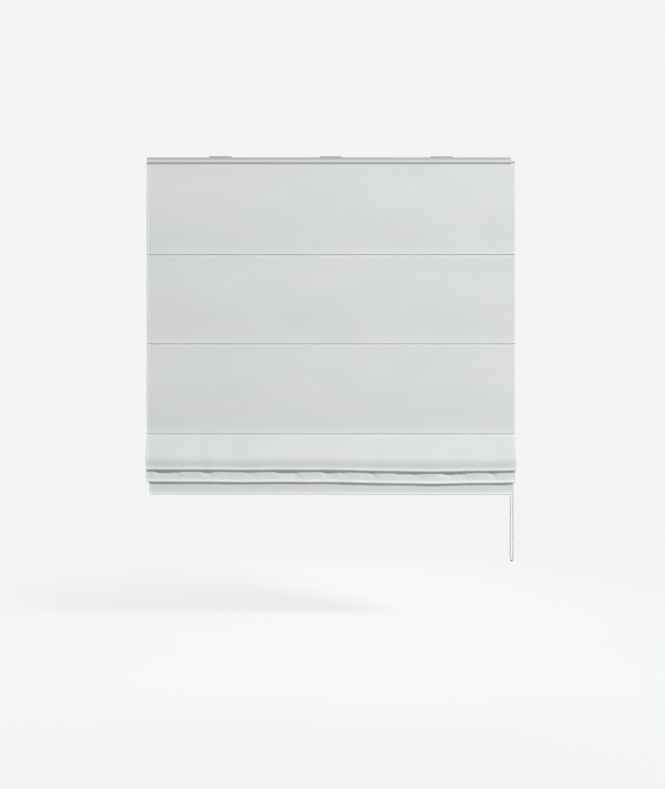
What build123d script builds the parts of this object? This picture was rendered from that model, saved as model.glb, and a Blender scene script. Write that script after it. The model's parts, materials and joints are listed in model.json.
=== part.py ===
"""Roman blind, chain operated, shown partly raised. Units are millimetres.

Axes: +X to the right as seen from the room, +Y away from the room, +Z up.
The origin is the centre of the middle bracket's top face, in the plane that the blind is fixed to.
"""
from build123d import *
import math
import os

# Overall sizes
BLIND_WIDTH = 1098.0
RAIL_DEPTH = 40.0
RAIL_HEIGHT = 40.0
RAIL_WALL = 1.5
HANG_GAP = 4.2
FACE_CLEARANCE = 0.2

# Front face of the headrail
RIDGE_DROP = 8.6
RIDGE_HEIGHT = 7.6
RIDGE_DEPTH = 2.2
RIDGE_SLOPE = 1.4
RAIL_CORNER_RADIUS = 0.8

# Track in the top of the headrail, and channel in its underside
TRACK_SLOT = 18.0
TRACK_DEPTH = 5.0
CHANNEL_LIP = 6.0

# Ends of the headrail
END_CAP_WIDTH = 8.0
CAP_WALL = 2.0
CAP_LEG_LENGTH = 12.0
CAP_LEG_WALL = 1.6
CAP_BOSS_REACH = 6.0
DRIVE_BLOCK_WIDTH = 10.0
COVER_THICKNESS = 2.0

# Top brackets
BRACKET_INSET = 219.0
BRACKET_LENGTH = 68.0
BRACKET_DEPTH = 30.0
BRACKET_THICKNESS = 1.5
BRACKET_HOLE_SPACING = 56.0
BRACKET_HOLE_RADIUS = 2.25
BRACKET_CORNER_RADIUS = 4.0
HOOK_LENGTH = 28.0
HOOK_REACH = 4.0
HOOK_THICKNESS = 1.5

# Swivel levers
LEVER_THICKNESS = 2.0
LEVER_NECK_RADIUS = 5.0
LEVER_REACH = 23.0
LEVER_WIDTH = 9.0
CAM_REACH = 12.0
CAM_WIDTH = 10.0
LEVER_CORNER_RADIUS = 2.25
PIVOT_RADIUS = 2.5
PIVOT_CLEARANCE = 0.06

# Drive shaft and spools
SHAFT_FLATS = 6.0
SHAFT_Y = 4.0
SHAFT_BELOW_RAIL_TOP = 24.3
SHAFT_SOCKET_CLEARANCE = 0.05
SPOOL_INSET = 129.0
SPOOL_LENGTH = 30.0
SPOOL_CORE_RADIUS = 9.5
SPOOL_FLANGE_RADIUS = 11.5
SPOOL_FLANGE_THICKNESS = 1.5
JOURNAL_RADIUS = 5.0
JOURNAL_CLEARANCE = 0.05
SPOOL_END_CLEARANCE = 0.4
WOUND_TURNS = 8
CORD_DIAMETER = 1.2
CORD_SPACING = 1.25
WINDING_INSET = 1.0

# Spool cradles
CRADLE_BASE = 2.0
CRADLE_WALL = 2.5
CRADLE_WALL_RADIUS = 9.0
CORD_HOLE_RADIUS = 1.7

# Chain and its wheel
BEAD_PITCH = 6.0
BEAD_DIAMETER = 4.5
CHAIN_CORD_DIAMETER = 1.6
BEAD_SIDES = 6
WHEEL_POCKETS = 12
STRAND_PITCHES = 195
LOOP_TWIST = 9.9
WHEEL_WIDTH = 5.0
WHEEL_TIP = 0.8
WHEEL_CHEEK = 0.8
CHEEK_STANDOFF = 1.4
POCKET_CLEARANCE = 0.3
CHAIN_GROOVE_WIDTH = 2.4
CHAIN_GROOVE_DEPTH = 1.7
CHAIN_SLOT_CLEARANCE = 1.2
CONNECTOR_LENGTH = 5.0
CONNECTOR_RADIUS = 4.0
CONNECTOR_CLEARANCE = 0.15
CONNECTOR_CHAMFER = 0.8
FLATNESS = 1e-7

# Brake in the drive
SLEEVE_LENGTH = 18.0
SLEEVE_BORE_RADIUS = 9.6
SLEEVE_WALL = 2.4
SPRING_WIRE = 1.2
SPRING_TURNS = 7
SPRING_TURN_WIDTH = 1.6
SPRING_TURN_GAP = 0.3
SPRING_CLEARANCE = 0.1
SPRING_GROOVE_DEPTH = 0.6
HUB_LENGTH = 10.0
CORE_LENGTH = 9.0
CORE_GAP = 0.5
COVER_PIN_RADIUS = 2.4
COVER_PIN_LENGTH = 2.0

# Fabric
FABRIC_THICKNESS = 1.3
FABRIC_DROP_FROM_RAIL_TOP = 22.3
TAPE_THICKNESS = 1.0
TAPE_HEIGHT = 17.0
TAPE_INSET = 1.0
PANEL_LENGTHS = (268.2, 265.3, 268.5)
SEAM_GROOVE_DEPTH = 0.5
SEAM_GROOVE_HEIGHT = 1.6

# Gathered folds below the third rod
STACK_PITCH = 16.0
FRONT_FOLD_DROP = 108.6
SECOND_FOLD_DROP = 145.0
HEM_DROP = 181.0
FRONT_FOLD_REACH = 20.5
SECOND_FOLD_REACH = 9.5
FOLD_TURN = 7.0
RIDGE_TURN = 3.6
BELLY_DROP = 78.0
BELLY_RECESS = 4.5
LIP_RISE = 9.0
LIP_REACH = 1.8
SECOND_LIP_REACH = 1.1
HEM_LEAN = 5.5
HEM_TURN = 4.8
HEM_TURN_UP = 38.0
HEM_NARROWING = 9.0
TURN_ROUNDING = 0.42
HANG_RADIUS = 30.0
BELLY_RADIUS = 40.0
LIP_RADIUS = 10.0
LEG_RADIUS = 10.0
RIDGE_LEAN = 26.0
RIDGE_LEG = 13.0

# Rods, their pockets, cord rings and anchors
ROD_DIAMETER = 4.0
ROD_SIDE_INSET = 8.0
POCKET_WALL = 1.2
POCKET_ROD_CLEARANCE = 0.3
POCKET_SIDE_INSET = 5.0
SEAT_CLEARANCE = 0.3
RING_OUTER_RADIUS = 6.0
RING_INNER_RADIUS = 4.0
RING_THICKNESS = 2.0
RING_FOOT_WIDTH = 7.0
RING_FOOT_THICKNESS = 1.2
RING_FOOT_HEIGHT = 4.0
ANCHOR_RADIUS = 4.8
ANCHOR_HEIGHT = 8.0
ANCHOR_DOME = 1.5

# Weight bar in the hem
BAR_HEIGHT = 25.0
BAR_THICKNESS = 3.0
BAR_SIDE_INSET = 14.0
BAR_CAP_LENGTH = 6.0
BAR_EDGE_RADIUS = 0.75
BAR_CAP_ROUNDING = 3.0

# How far a cutting tool runs past what it cuts
CUT_MARGIN = 1.0

# Levels, from the fixing plane down
RAIL_TOP = -HANG_GAP
RAIL_BOTTOM = RAIL_TOP - RAIL_HEIGHT
RAIL_FRONT = -RAIL_DEPTH / 2
RAIL_BACK = RAIL_DEPTH / 2
RAIL_INNER = RAIL_DEPTH / 2 - RAIL_WALL
LIP_UNDERSIDE = RAIL_TOP - RAIL_WALL
WEB_TOP = LIP_UNDERSIDE - TRACK_DEPTH
CHAMBER_TOP = WEB_TOP - RAIL_WALL
CHAMBER_BOTTOM = RAIL_BOTTOM + RAIL_WALL
SHAFT_Z = RAIL_TOP - SHAFT_BELOW_RAIL_TOP

# Stations along the blind
BLIND_LEFT = -BLIND_WIDTH / 2
BLIND_RIGHT = BLIND_WIDTH / 2
RAIL_LEFT = BLIND_LEFT + END_CAP_WIDTH
COVER_LEFT = BLIND_RIGHT - COVER_THICKNESS
RAIL_RIGHT = COVER_LEFT - DRIVE_BLOCK_WIDTH
WHEEL_CAVITY_LEFT = RAIL_RIGHT + CAP_WALL
CHAIN_X = (WHEEL_CAVITY_LEFT + COVER_LEFT) / 2
BRACKET_XS = (BLIND_LEFT + BRACKET_INSET, 0.0, BLIND_RIGHT - BRACKET_INSET)
SPOOL_XS = (BLIND_LEFT + SPOOL_INSET, 0.0, BLIND_RIGHT - SPOOL_INSET)

# Chain wheel
PITCH_RADIUS = BEAD_PITCH / 2 / math.sin(math.pi / WHEEL_POCKETS)
BEAD_RADIUS = BEAD_DIAMETER / 2
CHEEK_RADIUS = PITCH_RADIUS + CHEEK_STANDOFF
CAVITY_RADIUS = PITCH_RADIUS + BEAD_RADIUS + CHAIN_SLOT_CLEARANCE

# Brake
SPRING_OUTER = SLEEVE_BORE_RADIUS - SPRING_CLEARANCE
SPRING_INNER = SPRING_OUTER - SPRING_WIRE
HUB_RADIUS = SPRING_INNER - SPRING_CLEARANCE
SOCKET_FLATS = SHAFT_FLATS + 2 * SHAFT_SOCKET_CLEARANCE

# Lift cords
CORD_RADIUS = CORD_DIAMETER / 2
WINDING_RADIUS = SPOOL_CORE_RADIUS + CORD_DIAMETER
CORD_Y = SHAFT_Y - SPOOL_CORE_RADIUS - CORD_RADIUS
WINDING_LENGTH = WOUND_TURNS * CORD_SPACING
WINDING_START = -SPOOL_LENGTH / 2 + SPOOL_FLANGE_THICKNESS + WINDING_INSET
CORD_OFFSET = WINDING_START + WINDING_LENGTH + CORD_SPACING / 2
CORD_XS = [x + CORD_OFFSET for x in SPOOL_XS]

# Fabric and rod levels
FABRIC_BACK = RAIL_FRONT - TAPE_THICKNESS
FABRIC_Y = FABRIC_BACK - FABRIC_THICKNESS / 2
FABRIC_FRONT = FABRIC_BACK - FABRIC_THICKNESS
FABRIC_TOP = RAIL_TOP - FABRIC_DROP_FROM_RAIL_TOP
SEAM_ZS = [FABRIC_TOP - sum(PANEL_LENGTHS[: i + 1]) for i in range(len(PANEL_LENGTHS))]
LAST_SEAM = SEAM_ZS[-1]
ROD_ZS = SEAM_ZS + [LAST_SEAM - STACK_PITCH, LAST_SEAM - 2 * STACK_PITCH]
FRONT_FOLD_BOTTOM = LAST_SEAM - FRONT_FOLD_DROP
SECOND_FOLD_BOTTOM = LAST_SEAM - SECOND_FOLD_DROP
HEM_BOTTOM = LAST_SEAM - HEM_DROP
ROD_RADIUS = ROD_DIAMETER / 2
POCKET_INNER_RADIUS = ROD_RADIUS + POCKET_ROD_CLEARANCE
POCKET_RADIUS = POCKET_INNER_RADIUS + POCKET_WALL
ROD_Y = FABRIC_BACK + SEAT_CLEARANCE + POCKET_RADIUS
RING_FOOT_Y = ROD_Y + POCKET_RADIUS + SEAT_CLEARANCE
RING_Y = RING_FOOT_Y + RING_OUTER_RADIUS
ANCHOR_TOP = ROD_ZS[-1] - RING_THICKNESS / 2 - SEAT_CLEARANCE
HEM_FRONT = ROD_Y - HEM_LEAN
HEM_BACK = HEM_FRONT + HEM_TURN


def block(x_range, y_range, z_range):
    """A box between two values on each axis."""
    size = [high - low for low, high in (x_range, y_range, z_range)]
    middle = [(low + high) / 2 for low, high in (x_range, y_range, z_range)]
    return Pos(*middle) * Box(*size)


def bar_along_x(x_range, y, z, radius):
    """A round bar along X."""
    low, high = x_range
    return Pos((low + high) / 2, y, z) * Rot(0, 90, 0) * Cylinder(radius, high - low)


def shaft_hexagon(flats, x_range):
    """A hexagonal prism along the drive shaft's axis."""
    profile = Plane.YZ * Pos(SHAFT_Y, SHAFT_Z) * RegularPolygon(flats / math.sqrt(3), 6)
    return along_x(profile, x_range)


def along_x(face, x_range):
    """Extrude a face drawn in the YZ plane between two stations."""
    low, high = x_range
    return Pos(low, 0, 0) * extrude(face, high - low, dir=(1, 0, 0))


def rectangle_yz(y_range, z_range):
    """A rectangle in the YZ plane."""
    corners = [
        (0, y_range[0], z_range[0]),
        (0, y_range[1], z_range[0]),
        (0, y_range[1], z_range[1]),
        (0, y_range[0], z_range[1]),
    ]
    return make_face(Polyline(*corners, close=True))


def rail_outline():
    """Outside of the headrail's section, with the moulded ridge on the room side."""
    ridge_top = RAIL_TOP - RIDGE_DROP
    ridge_bottom = ridge_top - RIDGE_HEIGHT
    ridge_face = RAIL_FRONT - RIDGE_DEPTH
    corners = [
        (0, RAIL_BACK, RAIL_TOP),
        (0, RAIL_FRONT, RAIL_TOP),
        (0, RAIL_FRONT, ridge_top),
        (0, ridge_face, ridge_top - RIDGE_SLOPE),
        (0, ridge_face, ridge_bottom + RIDGE_SLOPE),
        (0, RAIL_FRONT, ridge_bottom),
        (0, RAIL_FRONT, RAIL_BOTTOM),
        (0, RAIL_BACK, RAIL_BOTTOM),
    ]
    face = make_face(Polyline(*corners, close=True))
    inside = [v for v in face.vertices() if v.Y == RAIL_FRONT and RAIL_BOTTOM < v.Z < RAIL_TOP]
    outer = [v for v in face.vertices() if v not in inside]
    return fillet(outer, RAIL_CORNER_RADIUS)


def chamber_outline(clearance=0.0):
    """The hollow of the headrail that the spools run in."""
    half = RAIL_INNER - clearance
    return rectangle_yz((-half, half), (CHAMBER_BOTTOM + clearance, CHAMBER_TOP - clearance))


def make_headrail():
    track = rectangle_yz((-RAIL_INNER, RAIL_INNER), (WEB_TOP, LIP_UNDERSIDE))
    track_slot = rectangle_yz((-TRACK_SLOT / 2, TRACK_SLOT / 2), (LIP_UNDERSIDE, RAIL_TOP))
    mouth = RAIL_INNER - CHANNEL_LIP
    mouth_slot = rectangle_yz((-mouth, mouth), (RAIL_BOTTOM, CHAMBER_BOTTOM))
    section = rail_outline() - track - track_slot - chamber_outline() - mouth_slot
    return along_x(section, (RAIL_LEFT, RAIL_RIGHT))


def make_hook_tape():
    z_range = (FABRIC_TOP - TAPE_INSET - TAPE_HEIGHT, FABRIC_TOP - TAPE_INSET)
    return block((RAIL_LEFT, RAIL_RIGHT), (FABRIC_BACK, RAIL_FRONT), z_range)


def cap_legs(x_range):
    """The two flat legs that push into the headrail, one against each wall."""
    half = RAIL_INNER - FACE_CLEARANCE
    z_range = (CHAMBER_BOTTOM + FACE_CLEARANCE, CHAMBER_TOP - FACE_CLEARANCE)
    back = block(x_range, (half - CAP_LEG_WALL, half), z_range)
    front = block(x_range, (-half, CAP_LEG_WALL - half), z_range)
    return back + front


def make_end_cap():
    shell = along_x(rail_outline(), (BLIND_LEFT, RAIL_LEFT))
    hollow = rectangle_yz(
        (CAP_WALL - RAIL_BACK, RAIL_BACK - CAP_WALL), (RAIL_BOTTOM + CAP_WALL, RAIL_TOP - CAP_WALL)
    )
    shell -= along_x(hollow, (BLIND_LEFT + CAP_WALL, RAIL_LEFT))
    shell += cap_legs((BLIND_LEFT + CAP_WALL, RAIL_LEFT + CAP_LEG_LENGTH))
    boss_range = (BLIND_LEFT + CAP_WALL, RAIL_LEFT + CAP_BOSS_REACH)
    shell += bar_along_x(boss_range, SHAFT_Y, SHAFT_Z, JOURNAL_RADIUS + CAP_WALL)
    corner_radius = SHAFT_FLATS / math.sqrt(3) + JOURNAL_CLEARANCE
    return shell - bar_along_x((RAIL_LEFT, boss_range[1]), SHAFT_Y, SHAFT_Z, corner_radius)


def strand_slot(y, x_range):
    """The way out of the drive housing for one strand of the chain."""
    half = BEAD_RADIUS + CHAIN_SLOT_CLEARANCE
    return block(x_range, (y - half, y + half), (RAIL_BOTTOM, SHAFT_Z))


def make_drive_housing():
    cavity_range = (WHEEL_CAVITY_LEFT, COVER_LEFT)
    housing = along_x(rail_outline(), (RAIL_RIGHT, COVER_LEFT))
    housing -= bar_along_x(cavity_range, SHAFT_Y, SHAFT_Z, CAVITY_RADIUS)
    housing -= strand_slot(SHAFT_Y - PITCH_RADIUS, cavity_range)
    housing -= strand_slot(SHAFT_Y + PITCH_RADIUS, cavity_range)
    housing += cap_legs((RAIL_RIGHT - CAP_LEG_LENGTH, RAIL_RIGHT))
    sleeve_range = (RAIL_RIGHT - SLEEVE_LENGTH, RAIL_RIGHT)
    housing += bar_along_x(sleeve_range, SHAFT_Y, SHAFT_Z, SLEEVE_BORE_RADIUS + SLEEVE_WALL)
    bore_range = (sleeve_range[0], WHEEL_CAVITY_LEFT)
    return housing - bar_along_x(bore_range, SHAFT_Y, SHAFT_Z, SLEEVE_BORE_RADIUS)


def make_drive_cover():
    plate = along_x(rail_outline(), (COVER_LEFT, BLIND_RIGHT))
    plate += bar_along_x((COVER_LEFT - COVER_PIN_LENGTH, COVER_LEFT), SHAFT_Y, SHAFT_Z, COVER_PIN_RADIUS)
    return plate


def make_sprocket():
    """Bead wheel: pockets between split teeth, a cheek each side and a hub that reaches into the brake."""
    half = WHEEL_WIDTH / 2
    wheel_range = (CHAIN_X - half, CHAIN_X + half)
    wheel = bar_along_x(wheel_range, SHAFT_Y, SHAFT_Z, PITCH_RADIUS + WHEEL_TIP)
    for i in range(WHEEL_POCKETS):
        angle = 2 * math.pi * i / WHEEL_POCKETS
        y = SHAFT_Y + PITCH_RADIUS * math.cos(angle)
        z = SHAFT_Z + PITCH_RADIUS * math.sin(angle)
        wheel -= bar_along_x(wheel_range, y, z, BEAD_RADIUS + POCKET_CLEARANCE)
    groove_range = (CHAIN_X - CHAIN_GROOVE_WIDTH / 2, CHAIN_X + CHAIN_GROOVE_WIDTH / 2)
    groove = bar_along_x(groove_range, SHAFT_Y, SHAFT_Z, PITCH_RADIUS + WHEEL_TIP + CUT_MARGIN)
    groove -= bar_along_x(groove_range, SHAFT_Y, SHAFT_Z, PITCH_RADIUS - CHAIN_GROOVE_DEPTH)
    wheel -= groove
    wheel += bar_along_x((wheel_range[0] - WHEEL_CHEEK, wheel_range[0]), SHAFT_Y, SHAFT_Z, CHEEK_RADIUS)
    wheel += bar_along_x((wheel_range[1], wheel_range[1] + WHEEL_CHEEK), SHAFT_Y, SHAFT_Z, CHEEK_RADIUS)
    hub_range = (RAIL_RIGHT - HUB_LENGTH, wheel_range[0])
    wheel += bar_along_x(hub_range, SHAFT_Y, SHAFT_Z, HUB_RADIUS)
    socket_end = COVER_LEFT - COVER_PIN_LENGTH - SPOOL_END_CLEARANCE
    wheel -= shaft_hexagon(SOCKET_FLATS, (hub_range[0], socket_end))
    pin_bore = COVER_PIN_RADIUS + JOURNAL_CLEARANCE
    return wheel - bar_along_x((socket_end, COVER_LEFT), SHAFT_Y, SHAFT_Z, pin_bore)


def make_drive_core():
    """The part of the brake that is keyed to the shaft."""
    high = RAIL_RIGHT - HUB_LENGTH - CORE_GAP
    x_range = (high - CORE_LENGTH, high)
    core = bar_along_x(x_range, SHAFT_Y, SHAFT_Z, HUB_RADIUS)
    return core - shaft_hexagon(SOCKET_FLATS, x_range)


def make_brake_spring():
    """Flat wire wound close, gripping the sleeve. Its turns are joined by thin webs."""
    middle = RAIL_RIGHT - HUB_LENGTH - CORE_GAP / 2
    length = SPRING_TURNS * SPRING_TURN_WIDTH
    start = middle - length / 2
    spring = bar_along_x((start, start + length), SHAFT_Y, SHAFT_Z, SPRING_OUTER)
    for i in range(1, SPRING_TURNS):
        groove = start + i * SPRING_TURN_WIDTH
        groove_range = (groove - SPRING_TURN_GAP / 2, groove + SPRING_TURN_GAP / 2)
        ring = bar_along_x(groove_range, SHAFT_Y, SHAFT_Z, SPRING_OUTER)
        spring -= ring - bar_along_x(groove_range, SHAFT_Y, SHAFT_Z, SPRING_OUTER - SPRING_GROOVE_DEPTH)
    return spring - bar_along_x((start, start + length), SHAFT_Y, SHAFT_Z, SPRING_INNER)


def make_drive_shaft():
    right = COVER_LEFT - COVER_PIN_LENGTH - 2 * SPOOL_END_CLEARANCE
    return shaft_hexagon(SHAFT_FLATS, (RAIL_LEFT + FACE_CLEARANCE, right))


def make_spool(x):
    half = SPOOL_LENGTH / 2
    journal = half + SPOOL_END_CLEARANCE + CRADLE_WALL
    spool = bar_along_x((x - half, x + half), SHAFT_Y, SHAFT_Z, SPOOL_CORE_RADIUS)
    for side in (-1, 1):
        flange = sorted((x + side * half, x + side * (half - SPOOL_FLANGE_THICKNESS)))
        spool += bar_along_x(flange, SHAFT_Y, SHAFT_Z, SPOOL_FLANGE_RADIUS)
    spool += bar_along_x((x - journal, x + journal), SHAFT_Y, SHAFT_Z, JOURNAL_RADIUS)
    return spool - shaft_hexagon(SOCKET_FLATS, (x - journal, x + journal))


def make_cord_winding(x):
    """The turns of cord on one spool, laid side by side."""
    start = x + WINDING_START
    x_range = (start, start + WINDING_LENGTH)
    turns = bar_along_x(x_range, SHAFT_Y, SHAFT_Z, WINDING_RADIUS)
    return turns - bar_along_x(x_range, SHAFT_Y, SHAFT_Z, SPOOL_CORE_RADIUS)


def make_spool_cradle(x):
    """Moulded cradle: base on the rail's lips, two bearing walls and a cord hole."""
    inner = SPOOL_LENGTH / 2 + SPOOL_END_CLEARANCE
    outer = inner + CRADLE_WALL
    half = RAIL_INNER - FACE_CLEARANCE
    mouth = RAIL_INNER - CHANNEL_LIP - FACE_CLEARANCE
    base_top = CHAMBER_BOTTOM + CRADLE_BASE
    cradle = block((x - outer, x + outer), (-half, half), (CHAMBER_BOTTOM, base_top))
    cradle += block((x - outer, x + outer), (-mouth, mouth), (RAIL_BOTTOM, CHAMBER_BOTTOM))
    for low in (-outer, inner):
        wall_range = (x + low, x + low + CRADLE_WALL)
        y_range = (SHAFT_Y - CRADLE_WALL_RADIUS, SHAFT_Y + CRADLE_WALL_RADIUS)
        cradle += block(wall_range, y_range, (CHAMBER_BOTTOM, SHAFT_Z))
        cradle += bar_along_x(wall_range, SHAFT_Y, SHAFT_Z, CRADLE_WALL_RADIUS)
        cradle -= bar_along_x(wall_range, SHAFT_Y, SHAFT_Z, JOURNAL_RADIUS + JOURNAL_CLEARANCE)
    hole_height = base_top - RAIL_BOTTOM
    hole_middle = Pos(x + CORD_OFFSET, CORD_Y, RAIL_BOTTOM + hole_height / 2)
    return cradle - hole_middle * Cylinder(CORD_HOLE_RADIUS, hole_height)


def make_top_bracket(x):
    """Steel plate with a fixed hook that goes under the rail's front lip."""
    plate = Pos(x, 0, -BRACKET_THICKNESS / 2) * Box(BRACKET_LENGTH, BRACKET_DEPTH, BRACKET_THICKNESS)
    plate = fillet(plate.edges().filter_by(Axis.Z), BRACKET_CORNER_RADIUS)
    slot_front = FACE_CLEARANCE - TRACK_SLOT / 2
    hook_range = (x - HOOK_LENGTH / 2, x + HOOK_LENGTH / 2)
    hook_top = LIP_UNDERSIDE - FACE_CLEARANCE
    hook_bottom = hook_top - HOOK_THICKNESS
    plate += block(hook_range, (slot_front, slot_front + HOOK_THICKNESS), (hook_bottom, 0))
    plate += block(hook_range, (slot_front - HOOK_REACH, slot_front), (hook_bottom, hook_top))
    for side in (-1, 1):
        hole_x = x + side * BRACKET_HOLE_SPACING / 2
        plate -= Pos(hole_x, 0, -BRACKET_THICKNESS / 2) * Cylinder(BRACKET_HOLE_RADIUS, BRACKET_THICKNESS)
    pivot_hole = Cylinder(PIVOT_RADIUS + PIVOT_CLEARANCE, BRACKET_THICKNESS)
    return plate - Pos(x, 0, -BRACKET_THICKNESS / 2) * pivot_hole


def rounded_arm(length, width, thickness):
    """A flat arm from the pivot towards +Y with a round end at the pivot and rounded corners at its tip."""
    arm = Pos(0, length / 2, 0) * Rectangle(width, length)
    tip = arm.vertices().sort_by(Axis.Y)[-2:]
    arm = fillet(tip, LEVER_CORNER_RADIUS) + Circle(width / 2)
    return extrude(arm, thickness)


def make_bracket_lever(x):
    """Swivel lever: a handle over the rail's lips and a cam under them, on one neck."""
    handle_top = -BRACKET_THICKNESS - FACE_CLEARANCE
    cam_top = LIP_UNDERSIDE - FACE_CLEARANCE
    cam_bottom = cam_top - LEVER_THICKNESS
    lever = Pos(0, 0, handle_top - LEVER_THICKNESS) * rounded_arm(LEVER_REACH, LEVER_WIDTH, LEVER_THICKNESS)
    lever += Pos(0, 0, cam_bottom) * rounded_arm(CAM_REACH, CAM_WIDTH, LEVER_THICKNESS)
    neck = handle_top - cam_bottom
    lever += Pos(0, 0, cam_bottom + neck / 2) * Cylinder(LEVER_NECK_RADIUS, neck)
    pivot_length = BRACKET_THICKNESS
    lever += Pos(0, 0, handle_top + pivot_length / 2) * Cylinder(PIVOT_RADIUS, pivot_length)
    return Pos(x, 0, 0) * lever


def u_turn(first, second):
    """Two corners of a turn at the end of a fold, with the radius that rounds them."""
    radius = TURN_ROUNDING * math.dist(first, second)
    return [(*first, radius), (*second, radius)]


def cloth_route():
    """Centre line of the cloth as (y, z, corner radius), from its top edge to the end of its hem."""
    half = FABRIC_THICKNESS / 2
    rod_gap = POCKET_RADIUS + SEAT_CLEARANCE + half
    lean = math.radians(RIDGE_LEAN)
    down = (-math.sin(lean), -math.cos(lean))
    ridge = (ROD_Y + rod_gap * down[0], ROD_ZS[-2] + rod_gap * down[1])
    across = (down[1] * RIDGE_TURN / 2, -down[0] * RIDGE_TURN / 2)
    ridge_front = (ridge[0] + across[0], ridge[1] + across[1])
    ridge_back = (ridge[0] - across[0], ridge[1] - across[1])
    belly_1 = FABRIC_Y - FRONT_FOLD_REACH
    recess_1 = belly_1 + BELLY_RECESS
    front_1 = recess_1 - LIP_REACH
    bottom_1 = FRONT_FOLD_BOTTOM + half
    recess_2 = FABRIC_Y - SECOND_FOLD_REACH
    front_2 = recess_2 - SECOND_LIP_REACH
    bottom_2 = SECOND_FOLD_BOTTOM + half
    ridge_2 = ROD_ZS[-1] - rod_gap
    route = [(FABRIC_Y, FABRIC_TOP, 0.0), (FABRIC_Y, LAST_SEAM - SEAM_GROOVE_HEIGHT, HANG_RADIUS)]
    route += [(belly_1, LAST_SEAM - BELLY_DROP, BELLY_RADIUS), (recess_1, bottom_1 + LIP_RISE, LIP_RADIUS)]
    route += u_turn((front_1, bottom_1), (front_1 + FOLD_TURN, bottom_1))
    route += [(ridge_front[0] + RIDGE_LEG * down[0], ridge_front[1] + RIDGE_LEG * down[1], LEG_RADIUS)]
    route += u_turn(ridge_front, ridge_back)
    route += [(ridge_back[0] + RIDGE_LEG * down[0], ridge_back[1] + RIDGE_LEG * down[1], LEG_RADIUS)]
    route += [(recess_2, bottom_2 + LIP_RISE, LIP_RADIUS)]
    route += u_turn((front_2, bottom_2), (front_2 + FOLD_TURN, bottom_2))
    route += u_turn((ROD_Y - RIDGE_TURN, ridge_2), (ROD_Y, ridge_2))
    route += [(HEM_FRONT, SECOND_FOLD_BOTTOM, HANG_RADIUS)]
    route += u_turn((HEM_FRONT, HEM_BOTTOM + half), (HEM_BACK, HEM_BOTTOM + half))
    route += [(HEM_BACK, HEM_BOTTOM + HEM_TURN_UP, 0.0)]
    return route


def cloth_side(offset):
    """The cloth's centre line moved sideways, to the left of its own direction if the offset is positive."""
    route = cloth_route()
    points = [Vector(0, y, z) for y, z, _ in route]
    runs = [(b - a).normalized() for a, b in zip(points, points[1:])]
    moved = []
    radii = []
    for i, point in enumerate(points):
        run_in = runs[max(i - 1, 0)]
        run_out = runs[min(i, len(runs) - 1)]
        normal_in = Vector(0, -run_in.Z, run_in.Y)
        normal_out = Vector(0, -run_out.Z, run_out.Y)
        bisector = (normal_in + normal_out).normalized()
        moved.append(point + bisector * (offset / bisector.dot(normal_in)))
        turns_left = run_in.Y * run_out.Z - run_in.Z * run_out.Y > 0
        radii.append(route[i][2] - (offset if turns_left else -offset))
    return FilletPolyline(*moved, radius=radii[1:-1])


def make_fabric():
    """One lined cloth: three flat panels, two gathered folds and a hem turned up round the weight bar."""
    half = FABRIC_THICKNESS / 2
    left = cloth_side(half)
    right = cloth_side(-half)
    outline = Wire([*left.edges(), Line(left @ 1, right @ 1), *right.edges(), Line(left @ 0, right @ 0)])
    cloth = along_x(make_face(outline), (BLIND_LEFT, BLIND_RIGHT))
    for z in SEAM_ZS:
        groove_y = (FABRIC_FRONT, FABRIC_FRONT + SEAM_GROOVE_DEPTH)
        groove_z = (z - SEAM_GROOVE_HEIGHT / 2, z + SEAM_GROOVE_HEIGHT / 2)
        cloth -= block((BLIND_LEFT, BLIND_RIGHT), groove_y, groove_z)
    for side in (-1, 1):
        cloth -= hem_taper(side)
    return cloth


def hem_taper(side):
    """What the hem panel lacks at one side, because its edge draws in towards the bottom."""
    top = ROD_ZS[-1] - POCKET_RADIUS
    edge = side * BLIND_WIDTH / 2
    corners = [(edge, 0, top), (edge, 0, HEM_BOTTOM), (edge - side * HEM_NARROWING, 0, HEM_BOTTOM)]
    wedge = extrude(make_face(Polyline(*corners, close=True)), RAIL_DEPTH, dir=(0, 1, 0), both=True)
    fold_back = FABRIC_Y - SECOND_FOLD_REACH - SECOND_LIP_REACH + FOLD_TURN
    keep_low = SECOND_FOLD_BOTTOM - CUT_MARGIN
    keep_high = top + CUT_MARGIN
    kept = [
        (0, fold_back - RAIL_DEPTH, keep_low),
        (0, (fold_back + HEM_FRONT) / 2, keep_low),
        (0, ROD_Y - RIDGE_TURN / 2, keep_high),
        (0, fold_back - RAIL_DEPTH, keep_high),
    ]
    return wedge - along_x(make_face(Polyline(*kept, close=True)), (-BLIND_WIDTH, BLIND_WIDTH))


def make_rod_pocket(z):
    """Sewn tape tube on the back of the cloth."""
    x_range = (BLIND_LEFT + POCKET_SIDE_INSET, BLIND_RIGHT - POCKET_SIDE_INSET)
    pocket = bar_along_x(x_range, ROD_Y, z, POCKET_RADIUS)
    return pocket - bar_along_x(x_range, ROD_Y, z, POCKET_INNER_RADIUS)


def make_rod(z):
    x_range = (BLIND_LEFT + ROD_SIDE_INSET, BLIND_RIGHT - ROD_SIDE_INSET)
    return bar_along_x(x_range, ROD_Y, z, ROD_RADIUS)


def make_cord_ring(x, z):
    """Ring that the lift cord runs through, with the small foot that is sewn to the pocket."""
    ring = Pos(x, RING_Y, z) * Cylinder(RING_OUTER_RADIUS, RING_THICKNESS)
    foot_x = (x - RING_FOOT_WIDTH / 2, x + RING_FOOT_WIDTH / 2)
    foot_y = (RING_FOOT_Y, RING_FOOT_Y + RING_FOOT_THICKNESS)
    foot_z = (z - RING_FOOT_HEIGHT / 2, z + RING_FOOT_HEIGHT / 2)
    ring += block(foot_x, foot_y, foot_z)
    return ring - Pos(x, RING_Y, z) * Cylinder(RING_INNER_RADIUS, RING_FOOT_HEIGHT)


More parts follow.
